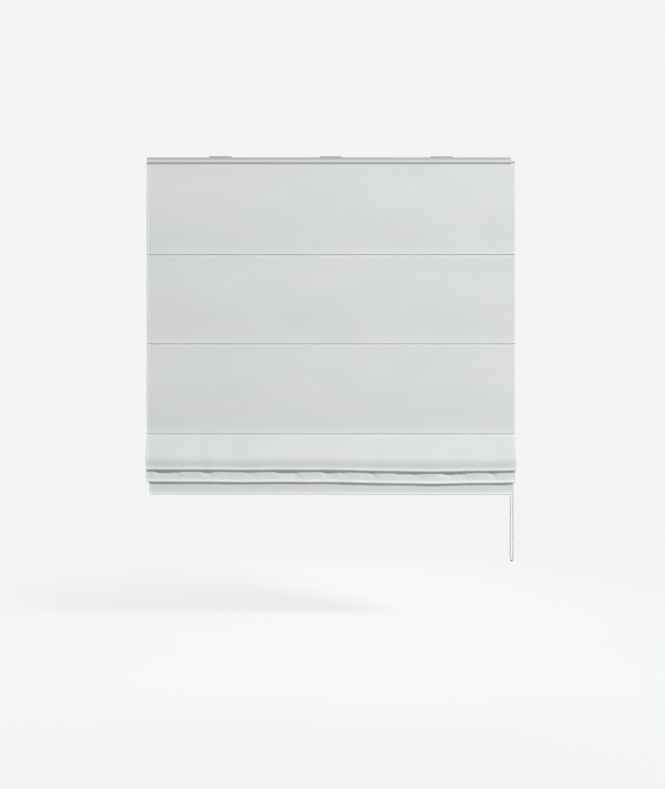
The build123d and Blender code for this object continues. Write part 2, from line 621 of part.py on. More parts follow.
def make_lift_cord(x):
    length = SHAFT_Z - ANCHOR_TOP
    return Pos(x, CORD_Y, ANCHOR_TOP + length / 2) * Cylinder(CORD_RADIUS, length)


def make_cord_anchor(x):
    """Toggle that holds the end of the cord under the lowest ring."""
    anchor = Pos(x, RING_Y, ANCHOR_TOP - ANCHOR_HEIGHT / 2) * Cylinder(ANCHOR_RADIUS, ANCHOR_HEIGHT)
    rims = anchor.edges().filter_by(GeomType.CIRCLE)
    return chamfer(rims, ANCHOR_DOME)


def make_bottom_bar():
    half = BLIND_WIDTH / 2 - HEM_NARROWING - BAR_SIDE_INSET
    y = (HEM_FRONT + HEM_BACK) / 2
    bottom = HEM_BOTTOM + FABRIC_THICKNESS + HEM_TURN / 2
    bar = block((-half, half), (y - BAR_THICKNESS / 2, y + BAR_THICKNESS / 2), (bottom, bottom + BAR_HEIGHT))
    return fillet(bar.edges().filter_by(Axis.X), BAR_EDGE_RADIUS)


def make_bar_cap(side):
    """Moulded tip on one end of the weight bar."""
    end = side * (BLIND_WIDTH / 2 - HEM_NARROWING - BAR_SIDE_INSET)
    y = (HEM_FRONT + HEM_BACK) / 2
    middle = HEM_BOTTOM + FABRIC_THICKNESS + HEM_TURN / 2 + BAR_HEIGHT / 2
    cap = Pos(end + side * BAR_CAP_LENGTH / 2, y, middle) * Box(BAR_CAP_LENGTH, BAR_THICKNESS, BAR_HEIGHT)
    tip = cap.faces().sort_by(Axis.X)[-1 if side > 0 else 0]
    return fillet(tip.edges().filter_by(Axis.Y), BAR_CAP_ROUNDING)


def chain_stations():
    """Every neck and bead of the loop in order, as (middle, radius, outward direction, across direction)."""
    neck = CHAIN_CORD_DIAMETER / 2
    twist = math.radians(LOOP_TWIST)
    across = {"top": Vector(1, 0, 0), "bottom": Vector(math.cos(twist), math.sin(twist), 0)}
    back = {"top": Vector(0, 1, 0), "bottom": Vector(-math.sin(twist), math.cos(twist), 0)}
    centre = {"top": Vector(CHAIN_X, SHAFT_Y, SHAFT_Z)}
    centre["bottom"] = centre["top"] - Vector(0, 0, STRAND_PITCHES * BEAD_PITCH)
    neck_radius = PITCH_RADIUS * math.cos(math.pi / WHEEL_POCKETS)
    stations = []

    def arc(end, first_step, last_step):
        for step in range(first_step, last_step):
            angle = math.pi * step / WHEEL_POCKETS
            outward = back[end] * math.cos(angle) + Vector(0, 0, math.sin(angle))
            on_bead = step % 2 == 0
            reach = PITCH_RADIUS if on_bead else neck_radius
            radius = BEAD_RADIUS if on_bead else neck
            stations.append((centre[end] + outward * reach, radius, outward, across[end]))

    def strand(start, finish, side):
        half_steps = 2 * STRAND_PITCHES
        for step in range(1, half_steps):
            middle = start + (finish - start) * (step / half_steps)
            radius = BEAD_RADIUS if step % 2 == 0 else neck
            stations.append((middle, radius, Vector(0, side, 0), Vector(1, 0, 0)))

    arc("top", 0, WHEEL_POCKETS + 1)
    strand(centre["top"] - back["top"] * PITCH_RADIUS, centre["bottom"] - back["bottom"] * PITCH_RADIUS, -1)
    arc("bottom", WHEEL_POCKETS, 2 * WHEEL_POCKETS + 1)
    strand(centre["bottom"] + back["bottom"] * PITCH_RADIUS, centre["top"] + back["top"] * PITCH_RADIUS, 1)
    return stations


def make_bead_chain():
    """The endless chain as one loop: each bead is two blunt cones with flat sides, and necks join them."""
    angles = [2 * math.pi * (side + 0.5) / BEAD_SIDES for side in range(BEAD_SIDES)]
    rings = []
    for middle, radius, outward, across in chain_stations():
        rings.append([middle + (across * math.cos(a) + outward * math.sin(a)) * radius for a in angles])
    faces = []
    for i, ring in enumerate(rings):
        following = rings[(i + 1) % len(rings)]
        for side in range(BEAD_SIDES):
            beside = (side + 1) % BEAD_SIDES
            corners = [ring[side], ring[beside], following[beside], following[side]]
            faces += flat_faces(corners)
    return Solid(Shell(faces))


def flat_faces(corners):
    """One four-sided face, or two three-sided ones where the corners aren't in one plane."""
    a, b, c, d = corners
    normal = (b - a).cross(c - a).normalized()
    if abs((d - a).dot(normal)) < FLATNESS:
        return [Face(Wire.make_polygon(corners))]
    return [Face(Wire.make_polygon([a, b, c])), Face(Wire.make_polygon([a, c, d]))]


def make_chain_connector():
    """Short sleeve over the lowest bead, where the two ends of the chain are joined."""
    bottom = Vector(CHAIN_X, SHAFT_Y, SHAFT_Z - STRAND_PITCHES * BEAD_PITCH - PITCH_RADIUS)
    sleeve = Cylinder(CONNECTOR_RADIUS, CONNECTOR_LENGTH)
    sleeve = chamfer(sleeve.edges().filter_by(GeomType.CIRCLE), CONNECTOR_CHAMFER)
    sleeve -= Cylinder(BEAD_RADIUS + CONNECTOR_CLEARANCE, CONNECTOR_LENGTH)
    return Pos(bottom) * Rot(0, 0, LOOP_TWIST) * Rot(90, 0, 0) * sleeve


def save(name, shape):
    """Write one node."""
    export_step(shape, f"parts/{name}.step")


def group(pieces):
    """Several separate solids in one node."""
    return Compound(children=list(pieces))


def main():
    os.makedirs("parts", exist_ok=True)
    save("headrail", make_headrail())
    save("hook_tape", make_hook_tape())
    save("end_cap", make_end_cap())
    save("drive_housing", make_drive_housing())
    save("drive_cover", make_drive_cover())
    save("sprocket", make_sprocket())
    save("drive_core", make_drive_core())
    save("brake_spring", make_brake_spring())
    save("drive_shaft", make_drive_shaft())
    for i, x in enumerate(SPOOL_XS, 1):
        save(f"spool_{i}", make_spool(x))
        save(f"spool_cradle_{i}", make_spool_cradle(x))
    save("cord_windings", group(make_cord_winding(x) for x in SPOOL_XS))
    for i, x in enumerate(BRACKET_XS, 1):
        save(f"top_bracket_{i}", make_top_bracket(x))
        save(f"bracket_lever_{i}", make_bracket_lever(x))
    save("fabric", make_fabric())
    for i, z in enumerate(ROD_ZS, 1):
        save(f"rod_pocket_{i}", make_rod_pocket(z))
        save(f"rod_{i}", make_rod(z))
        save(f"cord_rings_{i}", group(make_cord_ring(x, z) for x in CORD_XS))
    for i, x in enumerate(CORD_XS, 1):
        save(f"lift_cord_{i}", make_lift_cord(x))
    save("cord_anchors", group(make_cord_anchor(x) for x in CORD_XS))
    save("bottom_bar", make_bottom_bar())
    save("bar_cap_left", make_bar_cap(-1))
    save("bar_cap_right", make_bar_cap(1))
    save("bead_chain", make_bead_chain())
    save("chain_connector", make_chain_connector())


main()
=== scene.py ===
"""Looks of the roman blind: cloth, stitching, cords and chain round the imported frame. Units are metres."""
import bpy
import json
import math
import numpy as np
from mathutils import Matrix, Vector


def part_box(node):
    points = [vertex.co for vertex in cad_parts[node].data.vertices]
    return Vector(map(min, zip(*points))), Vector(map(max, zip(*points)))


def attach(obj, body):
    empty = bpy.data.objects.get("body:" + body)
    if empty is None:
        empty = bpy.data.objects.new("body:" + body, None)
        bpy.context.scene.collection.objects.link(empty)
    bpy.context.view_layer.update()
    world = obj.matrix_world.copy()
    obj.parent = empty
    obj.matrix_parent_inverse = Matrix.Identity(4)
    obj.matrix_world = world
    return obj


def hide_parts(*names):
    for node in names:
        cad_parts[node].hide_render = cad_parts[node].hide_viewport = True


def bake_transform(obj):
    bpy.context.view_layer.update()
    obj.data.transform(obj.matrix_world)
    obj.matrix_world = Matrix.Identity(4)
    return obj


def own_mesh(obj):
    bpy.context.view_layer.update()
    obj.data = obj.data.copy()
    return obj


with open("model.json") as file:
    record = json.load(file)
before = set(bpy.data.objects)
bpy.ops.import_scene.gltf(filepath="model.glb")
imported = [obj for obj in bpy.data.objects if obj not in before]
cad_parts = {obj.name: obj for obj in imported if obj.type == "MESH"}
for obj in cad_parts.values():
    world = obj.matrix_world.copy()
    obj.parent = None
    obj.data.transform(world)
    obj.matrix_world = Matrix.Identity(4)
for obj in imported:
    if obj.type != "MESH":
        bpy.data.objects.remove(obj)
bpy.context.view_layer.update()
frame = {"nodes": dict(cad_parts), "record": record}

# Cloth, as it is cut and hung
CLOTH_THICKNESS = 0.0013
HALF_CLOTH = CLOTH_THICKNESS / 2
FRONT_FOLD_DROP = 0.1093
SECOND_FOLD_DROP = 0.1457
HEM_BELOW_BOX = 0.0007
HANG_DROP = 0.0016
FRONT_FOLD_REACH = 0.0205
SECOND_FOLD_REACH = 0.0095
LIP_RISE = 0.009
LIP_REACH = 0.0015
SECOND_LIP_REACH = 0.0011
BELLY_DROP = 0.078
BELLY_RECESS = 0.0038
FOLD_TURN = 0.007
RIDGE_TURN = 0.0036
HEM_LEAN = 0.0055
HEM_TURN = 0.0048
HEM_TURN_UP = 0.038
HEM_NARROWING = 0.009
TURN_ROUNDING = 0.42
HANG_RADIUS = 0.030
BELLY_RADIUS = 0.040
LIP_RADIUS = 0.010
LEG_RADIUS = 0.010
RIDGE_LEAN = math.radians(26)
RIDGE_LEG = 0.013
SEAT_CLEARANCE = 0.0003

# How far along the cloth each fold, and each turn over a rod, is looked for, and how exactly
FRONT_FOLD_SEARCH = 0.16
FIRST_RIDGE_SEARCH = 0.14
SECOND_FOLD_SEARCH = 0.17
SECOND_RIDGE_SEARCH = 0.15
LEVEL_TOLERANCE = 1e-6

# Waves of the folded edges along the blind, and where under the last seam they set in
EDGE_SWING = 0.0025
EDGE_SWING_LENGTH = 1.3
EDGE_LIFT = 0.0011
EDGE_LIFT_LENGTH = 0.55
EDGE_RIPPLE = 0.0003
EDGE_RIPPLE_LENGTH = 0.19
EDGE_RIPPLE_SHIFT = 0.02
WAVE_DROP = 0.012
WAVE_REACH = 0.06
HEM_WAVE_LOSS = 0.75

# Swells of the panels, and puckers of the gathered layers
PANEL_BULGE = 0.0024
PANEL_WAVE = 0.0007
FOLD_PUCKER = 0.0007
HEM_PUCKER = 0.00035
PUCKER_REACH = 0.03
HEM_EDGE_MARGIN = 0.012

# Dents, creases and swells of a layer under the fold in front of it
DENT_THRESHOLD = 0.2
DENT_LIMIT = 1.2
DENT_DEPTH = 0.0042
DENT_DROP = 0.003
DENT_HEIGHT = 0.011
DENT_SLANT = 0.5
HEM_DENT_DEPTH = 0.0014
HEM_DENT_DROP = 0.001
HEM_DENT_HEIGHT = 0.004
HEM_DENT_STRETCH = 0.6
HEM_DENT_SHIFT = 0.17
CREASE_DEPTH = 0.0007
CREASE_DROP = 0.002
CREASE_HEIGHT = 0.016
CREASE_PITCH = 0.029
CREASE_SLANT = 14
CREASE_SHIFT = 0.02
CREASE_LEAST = 0.3
LAYER_SWELL = 0.0018
LAYER_SWELL_REACH = 0.024
HEM_SWELL = 0.0010
HEM_SWELL_REACH = 0.018
SWELL_RISE = 0.0025

# Side hems
SIDE_HEM = 0.008
SIDE_HEM_STEP = 0.00015
SIDE_HEM_LINE = 0.00045
SIDE_HEM_LINE_WIDTH = 0.0007
EDGE_ROUNDING = 0.0005
EDGE_ROUNDING_WIDTH = 0.0009
BACK_HEM = 0.030
BACK_HEM_STEP = 0.0002

# Painted highlights along the folded edges: how strong, how far before the edge along the cloth, and how
# wide. The side hems get a painted highlight too
FRONT_FOLD_HIGHLIGHT = (0.25, 0.007, 0.0050)
SECOND_FOLD_HIGHLIGHT = (0.8, 0.006, 0.0045)
HEM_HIGHLIGHT = (1.0, 0.005, 0.0036)
SIDE_HIGHLIGHT = 0.35
SIDE_HIGHLIGHT_WIDTH = 0.8 * SIDE_HEM

# Seams and their stitches
SEAM_TUCK = 0.0020
SEAM_TUCK_HEIGHT = 0.0045
SEAM_TUCK_START = 0.0004
SEAM_DIP = 0.0010
SEAM_DIP_DROP = 0.0012
SEAM_DIP_WIDTH = 0.0032
STITCH_PITCH = 0.0042
STITCH_LENGTH = 0.0030
STITCH_RADIUS = 0.00022
STITCH_SIDES = 5
STITCH_SINK = 0.0003
STITCH_RISE = 0.00012
SEAM_STITCH_DROP = 0.0006
SEAM_STITCH_INSET = 0.004

# Flat edges of the pocket tapes
FLANGE_HEIGHT = 0.013
FLANGE_THICKNESS = 0.00022
FLANGE_GAP = 0.00002
FLANGE_INSET = 0.006
FLANGE_STATIONS = 120
FLANGE_RIPPLE = 0.00035
FLANGE_RIPPLE_LENGTH = 0.046
FLANGE_STITCH_MARGIN = 0.0014
FLANGE_STITCH_INSET = 0.003

# Ridge along the front of the rail, and the strip with a painted highlight over it
RIDGE_DROP = 0.0086
RIDGE_HEIGHT = 0.0076
RIDGE_DEPTH = 0.0022
RIDGE_SLOPE = 0.0014
STRIP_THICKNESS = 0.0002
STRIP_LOWER_EDGE = 0.0003

# Mesh of the cloth. The columns near a side edge are given by their distance from it
SHARP_ANGLE = math.radians(50)
SLOPE_STEP = 0.0002
COLUMN_STEP = 0.0062
EDGE_COLUMNS = (0, 0.0004, 0.0012, 0.003, 0.0055, 0.0072, 0.0078, 0.0083, 0.0088, 0.0096, 0.012, 0.016)
ROW_STEP = 0.0055
TURN_STEP = 0.0008
TURN_MARGIN = 0.006
TURN_GROWTH = 0.5
FINE_STEP = 0.0005
FINE_GROWTH = 0.35
SHORTEST_ROW = 0.0001
ARC_STEP = 0.00025
FEWEST_ARC_STEPS = 4

# Chain
BEAD_PITCH = 0.006
BEAD_RADIUS = 0.00225
BEAD_LENGTH_SHARE = 0.98
CHAIN_CORD_RADIUS = 0.0006
BEAD_END_RADIUS = 0.8 * CHAIN_CORD_RADIUS
WHEEL_POCKETS = 12
STRAND_PITCHES = 195
LOOP_TWIST = math.radians(9.9)
BEAD_SEGMENTS = 12
BEAD_RINGS = 8
CHAIN_CORD_SIDES = 8

# Lift cords
CORD_COUNT = 3
CORD_RADIUS = 0.0006
CORD_SIDES = 10
CORD_STEP = 0.01
FEWEST_CORD_STEPS = 3
WOUND_TURNS = 8
WOUND_SIDES = 8
STEPS_PER_TURN = 28
CORD_SPACING = 0.00125

# Panels and rods of the imported part
PANEL_COUNT = 3
ROD_COUNT = 5

# Camera, as the photograph was taken
IMAGE_WIDTH = 665
IMAGE_HEIGHT = 789
METRES_PER_PIXEL = 0.00298
CAMERA_DISTANCE = 3.0
VANISHING_X = 331.0
VANISHING_Y = 385.0
FIXING_PLANE_Y = 155.7
SENSOR = 36.0

# Light and surroundings. Each lamp has its place, what it points at, its two sides and its power in watts
BACKGROUND = (0.90, 0.905, 0.91, 1.0)
WORLD_LIGHT = 0.18
FLOOR_BOUNCE = (0.45, 0.45, 0.45, 1.0)
FLOOR_ROUGHNESS = 0.9
FLOOR_LEVEL = -1.46
FLOOR_RADIUS = 6.0
FLOOR_SIDES = 64
FADE_START = 0.3
FADE_END = 2.2
FADE_LEAST = 0.25
LAMPS = {
    "key": ((6.3, -7.5, 6.6), (0.0, 0.0, -0.7), (3.0, 1.8), 1380.0),
    "fill": ((0.2, -2.4, -1.1), (0.0, 0.0, -0.9), (2.4, 0.6), 4.0),
    "top": ((0.2, -1.6, 3.4), (0.0, -0.1, -0.6), (2.0, 0.9), 20.0),
    "back": ((-0.4, 3.4, 1.2), (0.0, 0.0, -0.5), (3.2, 2.0), 108.0),
}

# Red, green and blue of the cloth's warmer patches, as shares of its colour
WARM_TINT = (1.035, 1.006, 1.0)

# Sockets of a colour mix node
MIX_FACTOR = 0
MIX_FIRST = 6
MIX_SECOND = 7
MIX_RESULT = 2

# Two unit vectors whose cross product is shorter than this are nearly parallel
NEARLY_PARALLEL = 0.2


def middle(node):
    """Centre of a CAD node's box."""
    low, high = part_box(node)
    return (low + high) / 2


cloth_low, cloth_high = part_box("fabric")
rod_levels = [middle(f"rod_pocket_{k}").z for k in range(1, ROD_COUNT + 1)]
last_seam, ridge_rod, hem_rod = rod_levels[PANEL_COUNT - 1:]
rod_y = middle("rod_pocket_1").y
pocket_radius = (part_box("rod_pocket_1")[1].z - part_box("rod_pocket_1")[0].z) / 2
cloth_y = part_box("hook_tape")[0].y - HALF_CLOTH
half_width = (cloth_high.x - cloth_low.x) / 2
front_fold_bottom = last_seam - FRONT_FOLD_DROP
second_fold_bottom = last_seam - SECOND_FOLD_DROP
hem_bottom = cloth_low.z - HEM_BELOW_BOX


# Node helpers
def new_material(name):
    """A material with its node tree and its shader."""
    material = bpy.data.materials.new(name)
    material.use_nodes = True
    tree = material.node_tree
    shader = tree.nodes["Principled BSDF"]
    return material, tree, shader


def add(tree, kind, **values):
    """A node with its settings. Each goes to the input of that name, with _ for a space, or to the node."""
    node = tree.nodes.new(kind)
    for key, value in values.items():
        label = key.replace("_", " ")
        if label in node.inputs:
            node.inputs[label].default_value = value
        else:
            setattr(node, key, value)
    return node


def noise(tree, vector, scale, detail, roughness):
    """Soft noise, as a number from 0 to 1."""
    node = add(tree, "ShaderNodeTexNoise", Scale=scale, Detail=detail, Roughness=roughness)
    tree.links.new(vector, node.inputs["Vector"])
    return node.outputs["Fac"]


def stretched(tree, vector, scale):
    """Coordinates scaled by a different amount along each axis."""
    node = add(tree, "ShaderNodeMapping")
    node.inputs["Scale"].default_value = scale
    tree.links.new(vector, node.inputs["Vector"])
    return node.outputs["Vector"]


def between(tree, factor, low, high, from_low=0.3, from_high=0.7):
    """A number that follows a factor between two values."""
    node = add(tree, "ShaderNodeMapRange")
    tree.links.new(factor, node.inputs["Value"])
    node.inputs["From Min"].default_value = from_low
    node.inputs["From Max"].default_value = from_high
    node.inputs["To Min"].default_value = low
    node.inputs["To Max"].default_value = high
    return node.outputs["Result"]


def arithmetic(tree, operation, first, second):
    """Two numbers put together by one operation."""
    node = add(tree, "ShaderNodeMath", operation=operation)
    for socket, value in zip(node.inputs, (first, second)):
        tree.links.new(value, socket)
    return node.outputs["Value"]


def bands(tree, vector, direction, scale, distortion):
    """Parallel bands, a little uneven, that follow each other along a direction."""
    node = add(tree, "ShaderNodeTexWave", bands_direction=direction, Scale=scale, Distortion=distortion)
    node.inputs["Detail"].default_value = 1.0
    tree.links.new(vector, node.inputs["Vector"])
    return node.outputs["Fac"]


def object_place(tree):
    """Coordinates in metres on the object itself."""
    return add(tree, "ShaderNodeTexCoord").outputs["Object"]


def mix_colours(tree, factor, first, second):
    """A colour between two, each given as a colour or as a node's output."""
    node = add(tree, "ShaderNodeMix", data_type="RGBA")
    tree.links.new(factor, node.inputs[MIX_FACTOR])
    for socket, value in ((node.inputs[MIX_FIRST], first), (node.inputs[MIX_SECOND], second)):
        if isinstance(value, tuple):
            socket.default_value = value
        else:
            tree.links.new(value, socket)
    return node.outputs[MIX_RESULT]


def bump(tree, shader, heights):
    """Chain of bumps, given as (height, strength, distance)."""
    normal = None
    for height, strength, distance in heights:
        node = add(tree, "ShaderNodeBump", Strength=strength, Distance=distance)
        tree.links.new(height, node.inputs["Height"])
        if normal is not None:
            tree.links.new(normal, node.inputs["Normal"])
        normal = node.outputs["Normal"]
    tree.links.new(normal, shader.inputs["Normal"])


def shade(colour, share):
    """A colour made lighter or darker by a share."""
    return tuple(channel * share for channel in colour[:3]) + (1.0,)


def surface(tree, shader, colour, roughness, heights):
    """Colour, roughness and bumps of a material."""
    tree.links.new(colour, shader.inputs["Base Color"])
    tree.links.new(roughness, shader.inputs["Roughness"])
    bump(tree, shader, heights)


# Materials
def cloth_material(name, colour, sheen):
    """Fine satin weave: crossed threads, long slubs, soft clouding, warmer patches, and a painted highlight
    along fold edges and side hems.
    """
    material, tree, shader = new_material(name)
    flat = add(tree, "ShaderNodeUVMap", uv_map="cut").outputs["UV"]
    warp = bands(tree, flat, "X", scale=620.0, distortion=1.5)
    weft = bands(tree, flat, "Y", scale=620.0, distortion=1.5)
    weave = arithmetic(tree, "MULTIPLY", warp, weft)
    slub = noise(tree, stretched(tree, flat, (9.0, 420.0, 1.0)), scale=3.0, detail=3.0, roughness=0.6)
    upright_slub = noise(tree, stretched(tree, flat, (420.0, 9.0, 1.0)), scale=3.0, detail=3.0, roughness=0.6)
    slubs = arithmetic(tree, "MULTIPLY", slub, upright_slub)
    cloud = noise(tree, stretched(tree, flat, (2.0, 5.0, 1.0)), scale=3.0, detail=3.0, roughness=0.55)
    warmth = noise(tree, stretched(tree, flat, (0.8, 1.8, 1.0)), scale=3.0, detail=2.0, roughness=0.5)
    slub_share = between(tree, slubs, 0.0, 1.0, from_low=0.15, from_high=0.35)
    tinted = mix_colours(tree, slub_share, shade(colour, 0.972), shade(colour, 1.022))
    clouded = mix_colours(tree, between(tree, cloud, 0.0, 0.75), tinted, shade(colour, 0.95))
    warm = tuple(channel * share for channel, share in zip(colour, WARM_TINT)) + (1.0,)
    warmed = mix_colours(tree, between(tree, warmth, 0.0, 0.6), clouded, warm)
    # Painted highlight: the edge attribute lightens the cloth's colour along fold edges and side hems
    edge = add(tree, "ShaderNodeAttribute", attribute_name="edge").outputs["Fac"]
    highlighted = mix_colours(tree, edge, warmed, shade(colour, 1.25))
    shader.inputs["Sheen Weight"].default_value = sheen
    shader.inputs["Sheen Roughness"].default_value = 0.45
    shader.inputs["Specular IOR Level"].default_value = 0.28
    heights = [(weave, 0.18, 0.00012), (slubs, 0.22, 0.0002)]
    surface(tree, shader, highlighted, between(tree, cloud, 0.66, 0.78), heights)
    return material


def plastic_material(name, colour, roughness, translucency=0.0, coat=0.0):
    """Moulded plastic: faint flow marks, uneven gloss and a fine moulded grain."""
    material, tree, shader = new_material(name)
    place = object_place(tree)
    flow = noise(tree, stretched(tree, place, (4.0, 18.0, 18.0)), scale=2.5, detail=3.0, roughness=0.5)
    grain = noise(tree, place, scale=2600.0, detail=2.0, roughness=0.6)
    coloured = mix_colours(tree, between(tree, flow, 0.0, 1.0), shade(colour, 0.965), shade(colour, 1.02))
    gloss = between(tree, flow, roughness - 0.05, roughness + 0.07)
    shader.inputs["Subsurface Weight"].default_value = translucency
    shader.inputs["Subsurface Radius"].default_value = (0.003, 0.003, 0.003)
    shader.inputs["Coat Weight"].default_value = coat
    surface(tree, shader, coloured, gloss, [(grain, 0.10, 0.00006)])
    return material


def metal_material(name, colour, roughness, along=(2.0, 700.0, 700.0)):
    """Drawn or rolled metal: fine lines along the length and cloudy gloss."""
    material, tree, shader = new_material(name)
    place = object_place(tree)
    lines = noise(tree, stretched(tree, place, along), scale=1.5, detail=3.0, roughness=0.6)
    cloud = noise(tree, place, scale=22.0, detail=3.0, roughness=0.55)
    coloured = mix_colours(tree, between(tree, lines, 0.0, 1.0), shade(colour, 0.90), shade(colour, 1.04))
    gloss = between(tree, cloud, roughness - 0.06, roughness + 0.08)
    shader.inputs["Metallic"].default_value = 1.0
    surface(tree, shader, coloured, gloss, [(lines, 0.12, 0.00008)])
    return material


def paint_material(name, colour):
    """Powder coat: a fine orange-peel surface and a slightly cloudy sheen."""
    material, tree, shader = new_material(name)
    place = object_place(tree)
    peel = noise(tree, place, scale=900.0, detail=2.0, roughness=0.5)
    cloud = noise(tree, stretched(tree, place, (3.0, 30.0, 30.0)), scale=2.0, detail=3.0, roughness=0.5)
    coloured = mix_colours(tree, between(tree, cloud, 0.0, 1.0), shade(colour, 0.992), shade(colour, 1.005))
    surface(tree, shader, coloured, between(tree, cloud, 0.42, 0.52), [(peel, 0.16, 0.00008)])
    return material


def thread_material(name, colour, scale):
    """Twisted or braided thread."""
    material, tree, shader = new_material(name)
    place = object_place(tree)
    ply = bands(tree, place, "DIAGONAL", scale=scale, distortion=2.0)
    fuzz = noise(tree, place, scale=1500.0, detail=2.0, roughness=0.6)
    coloured = mix_colours(tree, ply, shade(colour, 0.86), shade(colour, 1.03))
    shader.inputs["Sheen Weight"].default_value = 0.25
    surface(tree, shader, coloured, between(tree, fuzz, 0.62, 0.80), [(ply, 0.5, 0.0001)])
    return material


def tape_material(name, colour):
    """Woven tape: fine ribs across it and soft clouding."""
    material, tree, shader = new_material(name)
    place = object_place(tree)
    ribs = bands(tree, place, "X", scale=330.0, distortion=0.8)
    cloud = noise(tree, place, scale=60.0, detail=3.0, roughness=0.5)
    coloured = mix_colours(tree, between(tree, cloud, 0.0, 1.0), shade(colour, 0.94), shade(colour, 1.02))
    ribbed = mix_colours(tree, ribs, shade(colour, 0.93), coloured)
    shader.inputs["Sheen Weight"].default_value = 0.2
    surface(tree, shader, ribbed, between(tree, cloud, 0.72, 0.86), [(ribs, 0.4, 0.00015)])
    return material


CLOTH = cloth_material("satin_cloth", (0.660, 0.683, 0.688), sheen=0.12)
LINING = cloth_material("lining_cloth", (0.770, 0.765, 0.745), sheen=0.05)
THREAD = thread_material("sewing_thread", (0.50, 0.52, 0.53), scale=1500.0)
CORD = thread_material("braided_cord", (0.78, 0.78, 0.765), scale=900.0)
SLOT_MATERIALS = {
    # Painted shade: the rail's grey powder coat is darker than the ridge strip's lighter copy of it, standing
    # in for shade from above
    "rail_paint": paint_material("powder_coat_painted_shade", (0.46, 0.465, 0.46)),
    "white_moulding": plastic_material("white_moulded", (0.80, 0.80, 0.79), 0.38),
    "grey_moulding": plastic_material("grey_acetal", (0.42, 0.43, 0.44), 0.42),
    "clear_moulding": plastic_material("milky_clear", (0.80, 0.81, 0.81), 0.22, translucency=0.35, coat=0.2),
    "bracket_steel": metal_material("zinc_plate", (0.54, 0.55, 0.565), 0.44, along=(60.0, 60.0, 60.0)),
    "spring_steel": metal_material("oiled_steel", (0.30, 0.31, 0.33), 0.30),
    "shaft_metal": metal_material("drawn_shaft", (0.66, 0.67, 0.68), 0.34),
    "bar_metal": metal_material("mill_bar", (0.66, 0.67, 0.68), 0.40),
    "rod_fibre": plastic_material("glass_fibre", (0.74, 0.74, 0.68), 0.35, translucency=0.2),
    "tape": tape_material("woven_tape", (0.74, 0.745, 0.745)),
    "cloth": CLOTH,
    "cord": CORD,
    "chain_plastic": plastic_material("chain_bead", (0.50, 0.51, 0.51), 0.26, translucency=0.3, coat=0.15),
}
# Painted highlight: a lighter copy of the rail's paint for the strip over the ridge
RIDGE_HIGHLIGHT_PAINT = paint_material("ridge_painted_highlight", (0.62, 0.625, 0.62))
# Painted shade: the left end cap's grey matches the rail's shade-darkened paint
SHADED_GREY_CAP = plastic_material("grey_moulded_painted_shade", (0.47, 0.475, 0.47), 0.40)


def dress_nodes():
    """Give each CAD node the material of its slot. The left end cap is a grey moulding of its own, darkened
    like the rail with painted shade.
    """
    for part in frame["record"]["subparts"]:
        materials = frame["nodes"][part["node"]].data.materials
        materials.clear()
        own = part["node"] == "end_cap"
        materials.append(SHADED_GREY_CAP if own else SLOT_MATERIALS[part["material_slot"]])


# Mesh helpers
def new_piece(name, points, faces, material, smooth=True):
    """A new object made of points and faces."""
    mesh = bpy.data.meshes.new(name)
    mesh.from_pydata([tuple(point) for point in points], [], [tuple(face) for face in faces])
    mesh.materials.append(material)
    mesh.polygons.foreach_set("use_smooth", [smooth] * len(mesh.polygons))
    mesh.update()
    piece = bpy.data.objects.new(name, mesh)
    bpy.context.scene.collection.objects.link(piece)
    return piece


def tube(points, radius, sides, closed=False):
    """Vertices and faces of a tube along a line of points."""
    line = np.array(points, float)
    ahead = np.roll(line, -1, 0) - np.roll(line, 1, 0)
    if not closed:
        ahead[0] = line[1] - line[0]
        ahead[-1] = line[-1] - line[-2]
    ahead /= np.linalg.norm(ahead, axis=1)[:, None]
    across = np.cross(ahead, (1.0, 0.0, 0.0))
    weak = np.linalg.norm(across, axis=1) < NEARLY_PARALLEL
    across[weak] = np.cross(ahead[weak], (0.0, 1.0, 0.0))
    across /= np.linalg.norm(across, axis=1)[:, None]
    up = np.cross(across, ahead)
    angles = np.linspace(0, 2 * math.pi, sides, endpoint=False)
    ring = across[:, None] * np.cos(angles)[None, :, None] + up[:, None] * np.sin(angles)[None, :, None]
    vertices = (line[:, None] + radius * ring).reshape(-1, 3)
    faces = []
    count = len(line)
    for i in range(count if closed else count - 1):
        here, following = i * sides, (i + 1) % count * sides
        for side in range(sides):
            beside = (side + 1) % sides
            faces.append((here + side, following + side, following + beside, here + beside))
    if not closed:
        faces.append(tuple(range(sides)))
        faces.append(tuple(reversed(range((count - 1) * sides, count * sides))))
    return vertices, faces


def joined(parts):
    """Several sets of vertices and faces as one."""
    points, faces = [], []
    start = 0
    for vertices, polygons in parts:
        points.append(vertices)
        faces += [tuple(corner + start for corner in polygon) for polygon in polygons]
        start += len(vertices)
    return np.concatenate(points), faces


# Cloth line
def u_turn(first, second):
    """Two corners of a narrow turn, rounded nearly to a half circle."""
    radius = TURN_ROUNDING * math.dist(first, second)
    return [(*first, radius), (*second, radius)]


